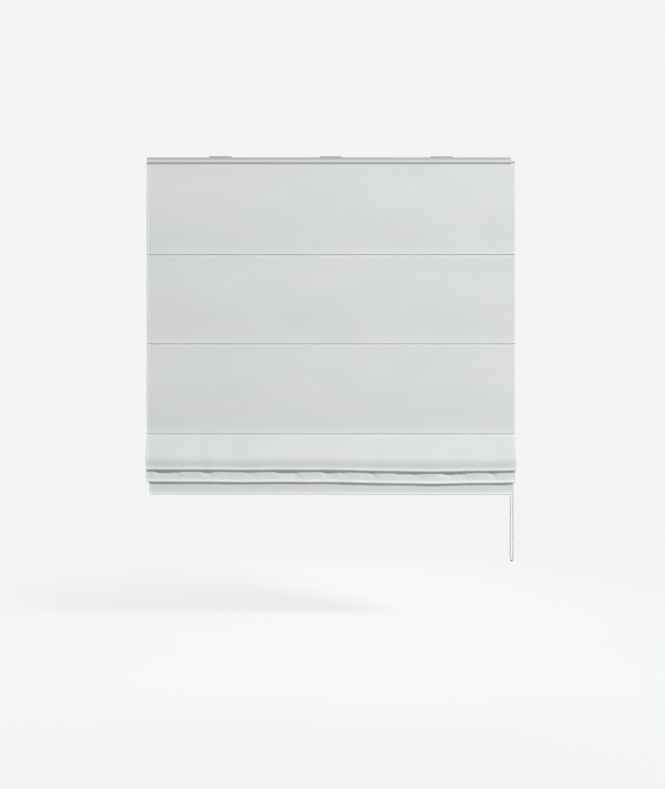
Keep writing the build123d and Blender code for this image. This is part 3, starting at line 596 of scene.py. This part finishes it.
def cloth_route():
    """Corners of the cloth's centre line as (y, z, radius), from its top to the end of the turned-up hem."""
    rod_gap = pocket_radius + SEAT_CLEARANCE + HALF_CLOTH
    down = (-math.sin(RIDGE_LEAN), -math.cos(RIDGE_LEAN))
    ridge = (rod_y + rod_gap * down[0], ridge_rod + rod_gap * down[1])
    across = (down[1] * RIDGE_TURN / 2, -down[0] * RIDGE_TURN / 2)
    ridge_front = (ridge[0] + across[0], ridge[1] + across[1])
    ridge_back = (ridge[0] - across[0], ridge[1] - across[1])
    belly_1 = cloth_y - FRONT_FOLD_REACH
    recess_1 = belly_1 + BELLY_RECESS
    front_1 = recess_1 - LIP_REACH
    bottom_1 = front_fold_bottom + HALF_CLOTH
    recess_2 = cloth_y - SECOND_FOLD_REACH
    front_2 = recess_2 - SECOND_LIP_REACH
    bottom_2 = second_fold_bottom + HALF_CLOTH
    low_ridge = hem_rod - rod_gap
    hem_front = rod_y - HEM_LEAN
    hem_back = hem_front + HEM_TURN
    low_hem = hem_bottom + HALF_CLOTH
    route = [(cloth_y, cloth_high.z, 0.0), (cloth_y, last_seam - HANG_DROP, HANG_RADIUS)]
    route += [(belly_1, last_seam - BELLY_DROP, BELLY_RADIUS), (recess_1, bottom_1 + LIP_RISE, LIP_RADIUS)]
    route += u_turn((front_1, bottom_1), (front_1 + FOLD_TURN, bottom_1))
    route += [(ridge_front[0] + RIDGE_LEG * down[0], ridge_front[1] + RIDGE_LEG * down[1], LEG_RADIUS)]
    route += u_turn(ridge_front, ridge_back)
    route += [(ridge_back[0] + RIDGE_LEG * down[0], ridge_back[1] + RIDGE_LEG * down[1], LEG_RADIUS)]
    route += [(recess_2, bottom_2 + LIP_RISE, LIP_RADIUS)]
    route += u_turn((front_2, bottom_2), (front_2 + FOLD_TURN, bottom_2))
    route += u_turn((rod_y - RIDGE_TURN, low_ridge), (rod_y, low_ridge))
    route += [(hem_front, second_fold_bottom, HANG_RADIUS)]
    route += u_turn((hem_front, low_hem), (hem_back, low_hem))
    route += [(hem_back, hem_bottom + HEM_TURN_UP, 0.0)]
    return route


def rounded_line(route):
    """Points of a line whose corners are arcs, close together on the arcs and in the straight runs."""
    corners = [np.array(corner[:2]) for corner in route]
    points = [corners[0]]
    for before, corner, after, (_, _, radius) in zip(corners, corners[1:], corners[2:], route[1:]):
        run_in = (corner - before) / np.linalg.norm(corner - before)
        run_out = (after - corner) / np.linalg.norm(after - corner)
        turn = math.acos(np.clip(run_in @ run_out, -1, 1))
        side = np.sign(run_in[0] * run_out[1] - run_in[1] * run_out[0])
        start = corner - run_in * radius * math.tan(turn / 2)
        centre = start + side * radius * np.array((-run_in[1], run_in[0]))
        steps = max(FEWEST_ARC_STEPS, int(radius * turn / ARC_STEP))
        for i in range(steps + 1):
            angle = side * turn * i / steps
            arm = start - centre
            turned = (
                arm[0] * math.cos(angle) - arm[1] * math.sin(angle),
                arm[0] * math.sin(angle) + arm[1] * math.cos(angle),
            )
            points.append(centre + np.array(turned))
    points.append(corners[-1])
    return np.array(points)


route_points = rounded_line(cloth_route())
route_lengths = np.concatenate([[0], np.cumsum(np.linalg.norm(np.diff(route_points, axis=0), axis=1))])


def at_length(lengths):
    """Centre line points (y, z) at lengths from the top."""
    y = np.interp(lengths, route_lengths, route_points[:, 0])
    z = np.interp(lengths, route_lengths, route_points[:, 1])
    return np.stack([y, z], axis=1)


def lowest_between(low, high):
    """Length along the cloth of the lowest point between two lengths."""
    inside = (route_lengths >= low) & (route_lengths <= high)
    at = route_lengths[inside]
    levels = route_points[inside][:, 1]
    return float(at[levels <= levels.min() + LEVEL_TOLERANCE].mean())


def highest_between(low, high):
    """Length along the cloth of the highest point between two lengths."""
    inside = (route_lengths >= low) & (route_lengths <= high)
    at = route_lengths[inside]
    levels = route_points[inside][:, 1]
    return float(at[levels >= levels.max() - LEVEL_TOLERANCE].mean())


seam_lengths = [cloth_high.z - level for level in rod_levels[:PANEL_COUNT]]
panel_tops = [0.0] + seam_lengths[:-1]
fold_1 = lowest_between(seam_lengths[-1], seam_lengths[-1] + FRONT_FOLD_SEARCH)
ridge_1 = highest_between(fold_1, fold_1 + FIRST_RIDGE_SEARCH)
fold_2 = lowest_between(ridge_1, ridge_1 + SECOND_FOLD_SEARCH)
ridge_2 = highest_between(fold_2, fold_2 + SECOND_RIDGE_SEARCH)
hem_edge = lowest_between(ridge_2, route_lengths[-1])
cloth_end = float(route_lengths[-1])


def bell(distance, width):
    """1 at no distance, falling off smoothly to 0 on both sides."""
    return np.exp(-((distance / width) ** 2))


def wave(x, length, start):
    """A sine wave along the blind, which starts at a share of its length."""
    return np.sin(2 * math.pi * (x / length + start))


def edge_wave(x):
    """How much the folded edges rise and dip along the blind. They hang lowest right of the middle."""
    swing = EDGE_SWING * np.sin(2 * math.pi * x / EDGE_SWING_LENGTH)
    lift = EDGE_LIFT * np.cos(2 * math.pi * x / EDGE_LIFT_LENGTH)
    ripple = EDGE_RIPPLE * np.sin(2 * math.pi * (x + EDGE_RIPPLE_SHIFT) / EDGE_RIPPLE_LENGTH)
    return lift - swing + ripple


def pucker(x, z):
    """Soft dents of the gathered cloth, which all its layers share."""
    shape = wave(x, 0.163, 1.7 * z) * wave(x, 0.61, 0.21)
    return shape + 0.6 * wave(x, 0.087, 0.4 - 3.1 * z) * wave(x, 0.43, 0.55)


def dents(x):
    """Short upright dents where a layer comes out from under the fold in front of it, from 0 to 1."""
    shape = wave(x, 0.121, 0.3) + 0.8 * wave(x, 0.173, 0.1) + 0.6 * wave(x, 0.071, 0.6)
    return np.clip(shape - DENT_THRESHOLD, 0, DENT_LIMIT) / DENT_LIMIT


def creases(x, below):
    """Fine slanted creases, stronger beside the dents, from -1 to 1."""
    strength = CREASE_LEAST + (1 - CREASE_LEAST) * dents(x - CREASE_SHIFT)
    return wave(x, CREASE_PITCH, CREASE_SLANT * below) * strength


def swell(below, reach):
    """How a layer comes forward just under the fold in front of it and goes back below that, from 0 to 1."""
    rise = np.clip((SWELL_RISE - below) / (2 * SWELL_RISE), 0, 1)
    return rise**2 * (3 - 2 * rise) * np.clip(1 + (below + SWELL_RISE) / reach, 0, 1)


def hang_wave(x, z):
    """Long, faint swells of the flat panels."""
    shape = wave(x, 0.83, 0.9 * z + 0.12) * np.cos(2 * math.pi * (x / 1.7 + 0.1))
    return shape + 0.5 * wave(x, 0.37, 1.6 * z)


def seam_relief(distance):
    """Front of the cloth across a seam: a soft tuck that overhangs a narrow dip. Distance is downwards."""
    above = np.clip(-distance, 0, None)
    tuck = SEAM_TUCK * np.exp(-above / SEAM_TUCK_HEIGHT) * (distance < -SEAM_TUCK_START)
    return tuck - SEAM_DIP * bell(distance - SEAM_DIP_DROP, SEAM_DIP_WIDTH)


def hem_half_width(lengths, z):
    """Half the cloth's width, which draws in towards the bottom of the hem."""
    top = hem_rod - pocket_radius
    share = np.clip((top - z) / (top - hem_bottom), 0, 1)
    return half_width - HEM_NARROWING * share * (lengths > ridge_2)


def columns():
    """Positions across the cloth from -1 to 1, close together at the side hems."""
    near_edge = np.array(EDGE_COLUMNS)
    inner = half_width - near_edge[-1]
    steps = int(2 * inner / COLUMN_STEP)
    centre = np.linspace(-inner, inner, steps)[1:-1]
    return np.concatenate([near_edge - half_width, centre, (half_width - near_edge)[::-1]]) / half_width


def row_lengths(start, end):
    """Lengths along the cloth for the rows of a piece, closer together where it turns and at seams."""
    lengths = [start]
    while lengths[-1] < end:
        here = lengths[-1]
        step = ROW_STEP
        for place in seam_lengths:
            step = min(step, max(FINE_STEP, abs(here - place) * FINE_GROWTH))
        for place in (fold_1, ridge_1, fold_2, ridge_2, hem_edge):
            step = min(step, max(TURN_STEP, (abs(here - place) - TURN_MARGIN) * TURN_GROWTH))
        lengths.append(min(here + step, end))
    if end - lengths[-2] < SHORTEST_ROW:
        lengths.pop(-2)
    return np.array(lengths)


def waved_level(x, z, path):
    """Levels of the cloth once the folded edges rise and dip along the blind. The hem does so less."""
    stack = np.clip((last_seam - WAVE_DROP - z) / WAVE_REACH, 0, 1)
    in_hem = np.clip((path - ridge_2) / (hem_edge - ridge_2), 0, 1)
    return z + edge_wave(x) * (1 - HEM_WAVE_LOSS * in_hem) * stack * (path > seam_lengths[-1])


def gathered_depth(x, y, z, path):
    """Depths of the cloth with the stack's puckers and the dents, creases and swells under each fold."""
    loose = np.clip((hem_rod - z) / PUCKER_REACH, 0, 1)
    loose = loose * (path > seam_lengths[-1]) * (path < hem_edge - HEM_EDGE_MARGIN)
    y = y + pucker(x, z) * np.where(path > ridge_2, HEM_PUCKER, FOLD_PUCKER) * loose
    second_layer = (path > ridge_1) & (path < fold_2)
    below = z - edge_wave(x) - front_fold_bottom
    dent = dents(x + DENT_SLANT * below)
    y = y + DENT_DEPTH * dent * bell(below + DENT_DROP, DENT_HEIGHT) * second_layer
    y = y - LAYER_SWELL * (1 - dent) * swell(below, LAYER_SWELL_REACH) * second_layer
    y = y + CREASE_DEPTH * creases(x, below) * bell(below + CREASE_DROP, CREASE_HEIGHT) * second_layer
    hem_layer = (path > ridge_2) & (path < hem_edge)
    below = z - edge_wave(x) - second_fold_bottom
    dent = dents(HEM_DENT_STRETCH * x + HEM_DENT_SHIFT)
    y = y + HEM_DENT_DEPTH * dent * bell(below + HEM_DENT_DROP, HEM_DENT_HEIGHT) * hem_layer
    return y - HEM_SWELL * (1 - dent) * swell(below, HEM_SWELL_REACH) * hem_layer


def panel_swell(x, z, path):
    """How far the flat panels stand forward, most halfway between two seams."""
    share = np.zeros_like(path)
    for top, bottom in zip(panel_tops, seam_lengths):
        inside = (path > top) & (path < bottom)
        share = np.where(inside, np.sin(math.pi * (path - top) / (bottom - top)) ** 2, share)
    return (PANEL_BULGE + PANEL_WAVE * hang_wave(x, z)) * share


def front_relief(path, from_edge):
    """How far the front stands off the plain cloth, at its seams, side hems and cut edges."""
    relief = sum(seam_relief(path - seam) for seam in seam_lengths)
    relief = relief - SIDE_HEM_LINE * bell(from_edge - SIDE_HEM, SIDE_HEM_LINE_WIDTH)
    relief = relief + SIDE_HEM_STEP * (from_edge < SIDE_HEM)
    return relief - EDGE_ROUNDING * bell(from_edge, EDGE_ROUNDING_WIDTH)


def painted_edge_highlight(path, from_edge):
    """How strongly a painted highlight lightens the cloth along its folded edges and its side hems, from 0 to
    1.
    """
    edges = [(fold_1, FRONT_FOLD_HIGHLIGHT), (fold_2, SECOND_FOLD_HIGHLIGHT), (hem_edge, HEM_HIGHLIGHT)]
    light = sum(strength * bell(path - edge + before, width) for edge, (strength, before, width) in edges)
    return np.clip(light + SIDE_HIGHLIGHT * bell(from_edge, SIDE_HIGHLIGHT_WIDTH), 0, 1)


def cloth_points(x, path, from_edge):
    """Points of the front and of the back of the cloth, for places across it and lengths along it."""
    lengths = path[:, 0]
    line = at_length(lengths)
    ahead = at_length(lengths + SLOPE_STEP) - at_length(lengths - SLOPE_STEP)
    ahead /= np.linalg.norm(ahead, axis=1)[:, None]
    out_y, out_z = ahead[:, 1][:, None], -ahead[:, 0][:, None]
    y = np.broadcast_to(line[:, 0][:, None], x.shape)
    z = waved_level(x, np.broadcast_to(line[:, 1][:, None], x.shape), path)
    y = gathered_depth(x, y, z, path) - panel_swell(x, z, path)
    front = HALF_CLOTH + front_relief(path, from_edge)
    back = HALF_CLOTH + BACK_HEM_STEP * (from_edge < BACK_HEM) - BACK_HEM_STEP
    front_points = np.stack([x, y + front * out_y, z + front * out_z], axis=2).reshape(-1, 3)
    back_points = np.stack([x, y - back * out_y, z - back * out_z], axis=2).reshape(-1, 3)
    return np.concatenate([front_points, back_points])


def sheet_faces(has_lining):
    """Faces of a closed sheet of a front and a back, and a 1 for each that is lining, else a 0."""
    rows, count = has_lining.shape
    shift = rows * count
    faces, lining = [], []
    for i in range(rows - 1):
        for j in range(count - 1):
            a, b = i * count + j, i * count + j + 1
            c, d = a + count, b + count
            faces += [(a, c, d, b), (a + shift, b + shift, d + shift, c + shift)]
            lining += [0, int(has_lining[i, j] and has_lining[i, j + 1])]
    for i in range(rows - 1):
        a, b = i * count, (i + 1) * count
        faces.append((a, a + shift, b + shift, b))
        a, b = a + count - 1, b + count - 1
        faces.append((a, b, b + shift, a + shift))
    for j in range(count - 1):
        a, b = j, j + 1
        faces.append((a, b, b + shift, a + shift))
        a, b = a + shift - count, b + shift - count
        faces.append((a, a + shift, b + shift, b))
    lining += [0] * (len(faces) - len(lining))
    return faces, lining


def cloth_piece(name, start, end, lined=True):
    """One stretch of the cloth as a closed sheet, from one length from the top to another."""
    lengths = row_lengths(start, end)
    widths = hem_half_width(lengths, at_length(lengths)[:, 1])[:, None]
    x = columns()[None, :] * widths
    path = np.broadcast_to(lengths[:, None], x.shape)
    from_edge = widths - np.abs(x)
    faces, lining = sheet_faces(lined & (from_edge > BACK_HEM))
    piece = new_piece(name, cloth_points(x, path, from_edge), faces, CLOTH)
    mesh = piece.data
    mesh.materials.append(LINING)
    mesh.polygons.foreach_set("material_index", lining)
    mesh.set_sharp_from_angle(angle=SHARP_ANGLE)
    flat = np.tile(np.stack([x, path], axis=2).reshape(-1, 2), (2, 1))
    corner = np.zeros(len(mesh.loops), np.int32)
    mesh.loops.foreach_get("vertex_index", corner)
    cut = mesh.uv_layers.new(name="cut")
    cut.data.foreach_set("uv", flat[corner].astype(np.float32).ravel())
    # Painted highlight along the folded edges and side hems, kept in the edge attribute
    light = np.tile(painted_edge_highlight(path, from_edge).ravel(), 2)
    attribute = mesh.attributes.new("edge", "FLOAT", "POINT")
    attribute.data.foreach_set("value", light.astype(np.float32))
    return piece


def make_panels():
    """The three flat panels, each attached to the body at its top."""
    bodies = ["root", "rod_1", "rod_2"]
    for k, (body, top, bottom) in enumerate(zip(bodies, panel_tops, seam_lengths), 1):
        piece = cloth_piece(f"cloth_panel_{k}", top, bottom)
        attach(piece, body)
        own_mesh(piece)
        if k == 1:
            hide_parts("fabric")


def make_folds():
    """The two gathered folds. Each is a front and a back leg.

    The back legs have the cloth on both sides, because an open fold shows the side that a closed one hides.
    """
    legs = [
        ("front_fold_outer", seam_lengths[-1], fold_1, 3, True),
        ("front_fold_inner", fold_1, ridge_1, 3, False),
        ("second_fold_outer", ridge_1, fold_2, 4, True),
        ("second_fold_inner", fold_2, ridge_2, 4, False),
    ]
    for name, start, end, upper, is_front in legs:
        piece = cloth_piece(name, start, end, lined=is_front)
        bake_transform(piece)


def make_hem():
    """The hem panel under the lowest rod, with its turned-up edge."""
    piece = cloth_piece("hem_panel", ridge_2, cloth_end)
    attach(piece, "rod_5")


def make_ridge_highlight():
    """Strip with a painted highlight, a lighter copy of the rail's paint, that covers the ridge along the
    front of the rail and its end pieces.
    """
    low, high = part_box("headrail")
    face = low.y - STRIP_THICKNESS
    wall = low.y + RIDGE_DEPTH - STRIP_THICKNESS / 2
    top, bottom = high.z - RIDGE_DROP, high.z - RIDGE_DROP - RIDGE_HEIGHT
    profile = [(wall, top), (face, top - RIDGE_SLOPE), (face, bottom + STRIP_LOWER_EDGE), (wall, bottom)]
    side = half_width - STRIP_THICKNESS
    points = [(x, y, z) for x in (-side, side) for y, z in profile]
    faces = [(0, 1, 2, 3), (7, 6, 5, 4), (0, 4, 5, 1), (1, 5, 6, 2), (2, 6, 7, 3), (3, 7, 4, 0)]
    # Painted highlight: the strip is lighter than the rail to stand in for light on the ridge
    strip = new_piece("ridge_highlight_strip", points, faces, RIDGE_HIGHLIGHT_PAINT, smooth=False)
    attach(strip, "root")


def stitch_row(side, y, z):
    """A row of short stitches from side to side, each a small sunk loop of thread."""
    parts = []
    half = STITCH_LENGTH / 2
    for i in range(int(2 * side / STITCH_PITCH)):
        x = -side + (i + 0.5) * STITCH_PITCH
        ends = [(x - half, y + STITCH_SINK, z), (x, y - STITCH_RISE, z), (x + half, y + STITCH_SINK, z)]
        parts.append(tube(ends, STITCH_RADIUS, STITCH_SIDES))
    return joined(parts)


def make_seams():
    """Stitching along the three seams, on the rod that each one goes through."""
    front = cloth_y - HALF_CLOTH + SEAM_DIP
    for k, level in enumerate(rod_levels[:PANEL_COUNT], 1):
        points, faces = stitch_row(half_width - SEAM_STITCH_INSET, front, level - SEAM_STITCH_DROP)
        piece = new_piece(f"seam_stitches_{k}", points, faces, THREAD)
        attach(piece, f"rod_{k}")


def flange(low, high, front, behind):
    """A flat strip behind the cloth between two levels and two depths, with a faint ripple along it."""
    points = []
    side = half_width - FLANGE_INSET
    for x in np.linspace(-side, side, FLANGE_STATIONS):
        ripple = FLANGE_RIPPLE * math.sin(2 * math.pi * x / FLANGE_RIPPLE_LENGTH)
        points += [(x, front, low + ripple), (x, behind, low + ripple)]
        points += [(x, behind, high + ripple), (x, front, high + ripple)]
    faces = [(3, 2, 1, 0)]
    last = 4 * (FLANGE_STATIONS - 1)
    for start in range(0, last, 4):
        for a, b in ((0, 1), (1, 2), (2, 3), (3, 0)):
            faces.append((start + a, start + b, start + 4 + b, start + 4 + a))
    faces.append((last, last + 1, last + 2, last + 3))
    return points, faces


def flange_stitches(low, high, behind):
    """Two rows of stitches on the back of a flat strip, near its lower and its upper edge."""
    rows = []
    for z in (low + FLANGE_STITCH_MARGIN, high - FLANGE_STITCH_MARGIN):
        points, faces = stitch_row(half_width - FLANGE_INSET - FLANGE_STITCH_INSET, 0.0, z)
        points[:, 1] = behind - points[:, 1]
        rows.append((points, [tuple(reversed(face)) for face in faces]))
    return joined(rows)


def make_flanges():
    """Flat edges of the pocket tapes, sewn to the lining above and below the first three rods."""
    back = cloth_y + HALF_CLOTH
    behind = back + FLANGE_THICKNESS
    for k, level in enumerate(rod_levels[:PANEL_COUNT], 1):
        low, high = level - FLANGE_HEIGHT / 2, level + FLANGE_HEIGHT / 2
        points, faces = flange(low, high, back + FLANGE_GAP, behind)
        strip = new_piece(f"pocket_flange_{k}", points, faces, SLOT_MATERIALS["tape"], smooth=False)
        points, faces = flange_stitches(low, high, behind)
        stitches = new_piece(f"flange_stitches_{k}", points, faces, THREAD)
        for piece in (strip, stitches):
            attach(piece, f"rod_{k}")


# Chain
def bead(centre, axis):
    """A round bead that is cut flat at both ends, inside the cord that it sits on."""
    axis = np.array(axis) / np.linalg.norm(axis)
    side = np.cross(axis, (1.0, 0.0, 0.0))
    if np.linalg.norm(side) < NEARLY_PARALLEL:
        side = np.cross(axis, (0.0, 1.0, 0.0))
    side /= np.linalg.norm(side)
    up = np.cross(axis, side)
    vertices = []
    for ring in range(BEAD_RINGS + 1):
        angle = math.pi * ring / BEAD_RINGS
        along = -BEAD_RADIUS * BEAD_LENGTH_SHARE * math.cos(angle)
        reach = max(BEAD_RADIUS * math.sin(angle), BEAD_END_RADIUS)
        for segment in range(BEAD_SEGMENTS):
            angle = 2 * math.pi * segment / BEAD_SEGMENTS
            vertices.append(centre + axis * along + (side * math.cos(angle) + up * math.sin(angle)) * reach)
    faces = []
    for ring in range(BEAD_RINGS):
        for segment in range(BEAD_SEGMENTS):
            beside = (segment + 1) % BEAD_SEGMENTS
            a, b = ring * BEAD_SEGMENTS + segment, ring * BEAD_SEGMENTS + beside
            faces.append((a, b, b + BEAD_SEGMENTS, a + BEAD_SEGMENTS))
    faces.append(tuple(reversed(range(BEAD_SEGMENTS))))
    last = BEAD_RINGS * BEAD_SEGMENTS
    faces.append(tuple(range(last, last + BEAD_SEGMENTS)))
    return np.array(vertices), faces


def half_turn(centre, back, radius, first):
    """Beads over half a turn round a centre, from a first angle on. Angle 0 is at the back."""
    beads = []
    for step in range(WHEEL_POCKETS // 2 + 1):
        angle = first + 2 * math.pi * step / WHEEL_POCKETS
        beads.append(centre + radius * (back * math.cos(angle) + np.array((0, 0, math.sin(angle)))))
    return beads


def strand(start, finish):
    """Beads of a straight strand, without the two at its ends."""
    return [start + (finish - start) * step / STRAND_PITCHES for step in range(1, STRAND_PITCHES)]


def chain_beads():
    """Middle of each bead, in order: over the wheel, down the front, round the bottom and up the back."""
    radius = BEAD_PITCH / 2 / math.sin(math.pi / WHEEL_POCKETS)
    shaft = middle("drive_shaft")
    top = np.array((middle("chain_connector").x, shaft.y, shaft.z))
    bottom = top - np.array((0, 0, STRAND_PITCHES * BEAD_PITCH))
    top_back = np.array((0.0, 1.0, 0.0))
    bottom_back = np.array((-math.sin(LOOP_TWIST), math.cos(LOOP_TWIST), 0.0))
    beads = half_turn(top, top_back, radius, 0.0)
    beads += strand(top - top_back * radius, bottom - bottom_back * radius)
    beads += half_turn(bottom, bottom_back, radius, math.pi)
    beads += strand(bottom + bottom_back * radius, top + top_back * radius)
    return beads


def make_chain():
    """The bead chain as one loop of beads, and the cord that runs through them."""
    beads = chain_beads()
    parts = []
    for i, centre in enumerate(beads):
        parts.append(bead(centre, beads[(i + 1) % len(beads)] - beads[i - 1]))
    points, faces = joined(parts)
    chain = new_piece("chain_beads", points, faces, SLOT_MATERIALS["chain_plastic"])
    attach(chain, "root")
    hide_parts("bead_chain")
    points, faces = tube(beads, CHAIN_CORD_RADIUS, CHAIN_CORD_SIDES, closed=True)
    core = new_piece("chain_core", points, faces, CORD)
    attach(core, "root")


# Lift cords
def cord_stretch(name, place, high, low):
    """A straight stretch of lift cord between two levels."""
    steps = max(FEWEST_CORD_STEPS, int((high - low) / CORD_STEP))
    line = [(place.x, place.y, high + (low - high) * step / steps) for step in range(steps + 1)]
    points, faces = tube(line, CORD_RADIUS, CORD_SIDES)
    piece = new_piece(name, points, faces, CORD)
    return piece


def make_cords():
    """Each lift cord in three stretches: from its top to the last seam, from there to the next rod, and from
    that rod down to the cord anchors.
    """
    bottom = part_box("cord_anchors")[1].z
    for i in range(1, CORD_COUNT + 1):
        place = middle(f"lift_cord_{i}")
        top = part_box(f"lift_cord_{i}")[1].z
        upper = cord_stretch(f"lift_cord_upper_{i}", place, top, last_seam)
        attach(upper, "root")
        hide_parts(f"lift_cord_{i}")
        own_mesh(upper)
        between_rods = cord_stretch(f"lift_cord_middle_{i}", place, last_seam, ridge_rod)
        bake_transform(between_rods)
        lower = cord_stretch(f"lift_cord_lower_{i}", place, ridge_rod, bottom)
        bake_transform(lower)


def winding(start, axis, reach):
    """The turns of cord on one spool, from where they start along it."""
    length = WOUND_TURNS * CORD_SPACING
    steps = WOUND_TURNS * STEPS_PER_TURN
    line = []
    for step in range(steps + 1):
        angle = 2 * math.pi * step / STEPS_PER_TURN
        x = start + CORD_RADIUS + (length - 2 * CORD_RADIUS) * step / steps
        line.append((x, axis.y - reach * math.cos(angle), axis.z + reach * math.sin(angle)))
    return tube(line, CORD_RADIUS, WOUND_SIDES)


def make_windings():
    """The wound cord on the three spools."""
    low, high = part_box("cord_windings")
    reach = (high.z - low.z) / 2 - CORD_RADIUS
    length = WOUND_TURNS * CORD_SPACING
    starts = (low.x, middle("cord_windings").x - length / 2, high.x - length)
    points, faces = joined([winding(start, middle("drive_shaft"), reach) for start in starts])
    piece = new_piece("wound_cords", points, faces, CORD)
    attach(piece, "shaft")
    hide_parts("cord_windings")


# Camera, light and surroundings
def make_camera():
    """A level camera whose shift puts the blind where the photograph has it."""
    camera = bpy.data.objects.new("camera", bpy.data.cameras.new("camera"))
    bpy.context.scene.collection.objects.link(camera)
    level = -(VANISHING_Y - FIXING_PLANE_Y) * METRES_PER_PIXEL
    camera.location = (0.0, cloth_y - CAMERA_DISTANCE, level)
    camera.rotation_euler = (math.radians(90), 0, 0)
    camera.data.sensor_width = SENSOR
    camera.data.lens = SENSOR * CAMERA_DISTANCE / (IMAGE_HEIGHT * METRES_PER_PIXEL)
    camera.data.shift_x = (IMAGE_WIDTH / 2 - VANISHING_X) / IMAGE_HEIGHT
    camera.data.shift_y = (VANISHING_Y - IMAGE_HEIGHT / 2) / IMAGE_HEIGHT
    bpy.context.scene.camera = camera


def area_lamp(name, place, target, size, power):
    """A soft rectangular lamp that points at a target."""
    lamp = bpy.data.lights.new(name, "AREA")
    lamp.shape = "RECTANGLE"
    lamp.size, lamp.size_y = size
    lamp.energy = power
    holder = bpy.data.objects.new(name, lamp)
    bpy.context.scene.collection.objects.link(holder)
    holder.location = place
    holder.rotation_euler = (Vector(target) - Vector(place)).to_track_quat("-Z", "Y").to_euler()


def background_rays(tree):
    """1 for rays that should see the plain background."""
    path = tree.nodes.new("ShaderNodeLightPath")
    seen = arithmetic(tree, "MAXIMUM", path.outputs["Is Camera Ray"], path.outputs["Is Glossy Ray"])
    return arithmetic(tree, "MAXIMUM", seen, path.outputs["Is Transmission Ray"])


def mix_shaders(tree, factor, first, second):
    """What is seen between two shader nodes, from the first at 0 to the second at 1."""
    node = tree.nodes.new("ShaderNodeMixShader")
    for value, socket in zip((factor, first.outputs[0], second.outputs[0]), node.inputs):
        tree.links.new(value, socket)
    return node.outputs[0]


def make_world():
    """Soft light from all round, while the camera sees the plain background."""
    world = bpy.data.worlds.new("studio")
    bpy.context.scene.world = world
    world.use_nodes = True
    tree = world.node_tree
    tree.nodes.clear()
    light = add(tree, "ShaderNodeBackground", Color=(1.0, 1.0, 1.0, 1.0), Strength=WORLD_LIGHT)
    plain = add(tree, "ShaderNodeBackground", Color=BACKGROUND, Strength=1.0)
    output = tree.nodes.new("ShaderNodeOutputWorld")
    seen = mix_shaders(tree, background_rays(tree), light, plain)
    tree.links.new(seen, output.inputs["Surface"])


def make_floor():
    """Pale floor whose soft shadow fades into the plain background."""
    material, tree, shader = new_material("floor")
    seen = mix_colours(tree, background_rays(tree), FLOOR_BOUNCE, BACKGROUND)
    tree.links.new(seen, shader.inputs["Base Color"])
    shader.inputs["Roughness"].default_value = FLOOR_ROUGHNESS
    reach = add(tree, "ShaderNodeVectorMath", operation="LENGTH")
    tree.links.new(object_place(tree), reach.inputs[0])
    fade = between(tree, reach.outputs["Value"], FADE_LEAST, 1.0, FADE_START, FADE_END)
    plain = add(tree, "ShaderNodeEmission", Color=BACKGROUND, Strength=1.0)
    faded = mix_shaders(tree, arithmetic(tree, "MULTIPLY", background_rays(tree), fade), shader, plain)
    tree.links.new(faded, tree.nodes["Material Output"].inputs["Surface"])
    corners = [
        (FLOOR_RADIUS * math.cos(angle), FLOOR_RADIUS * math.sin(angle), FLOOR_LEVEL)
        for angle in np.linspace(0, 2 * math.pi, FLOOR_SIDES, endpoint=False)
    ]
    floor = new_piece("floor", corners, [tuple(range(FLOOR_SIDES))], material, smooth=False)


dress_nodes()
make_panels()
make_folds()
make_hem()
make_ridge_highlight()
make_seams()
make_flanges()
make_chain()
make_cords()
make_windings()
make_camera()
make_world()
make_floor()
for lamp_name, settings in LAMPS.items():
    area_lamp(lamp_name, *settings)
bpy.context.scene.view_settings.view_transform = "Standard"
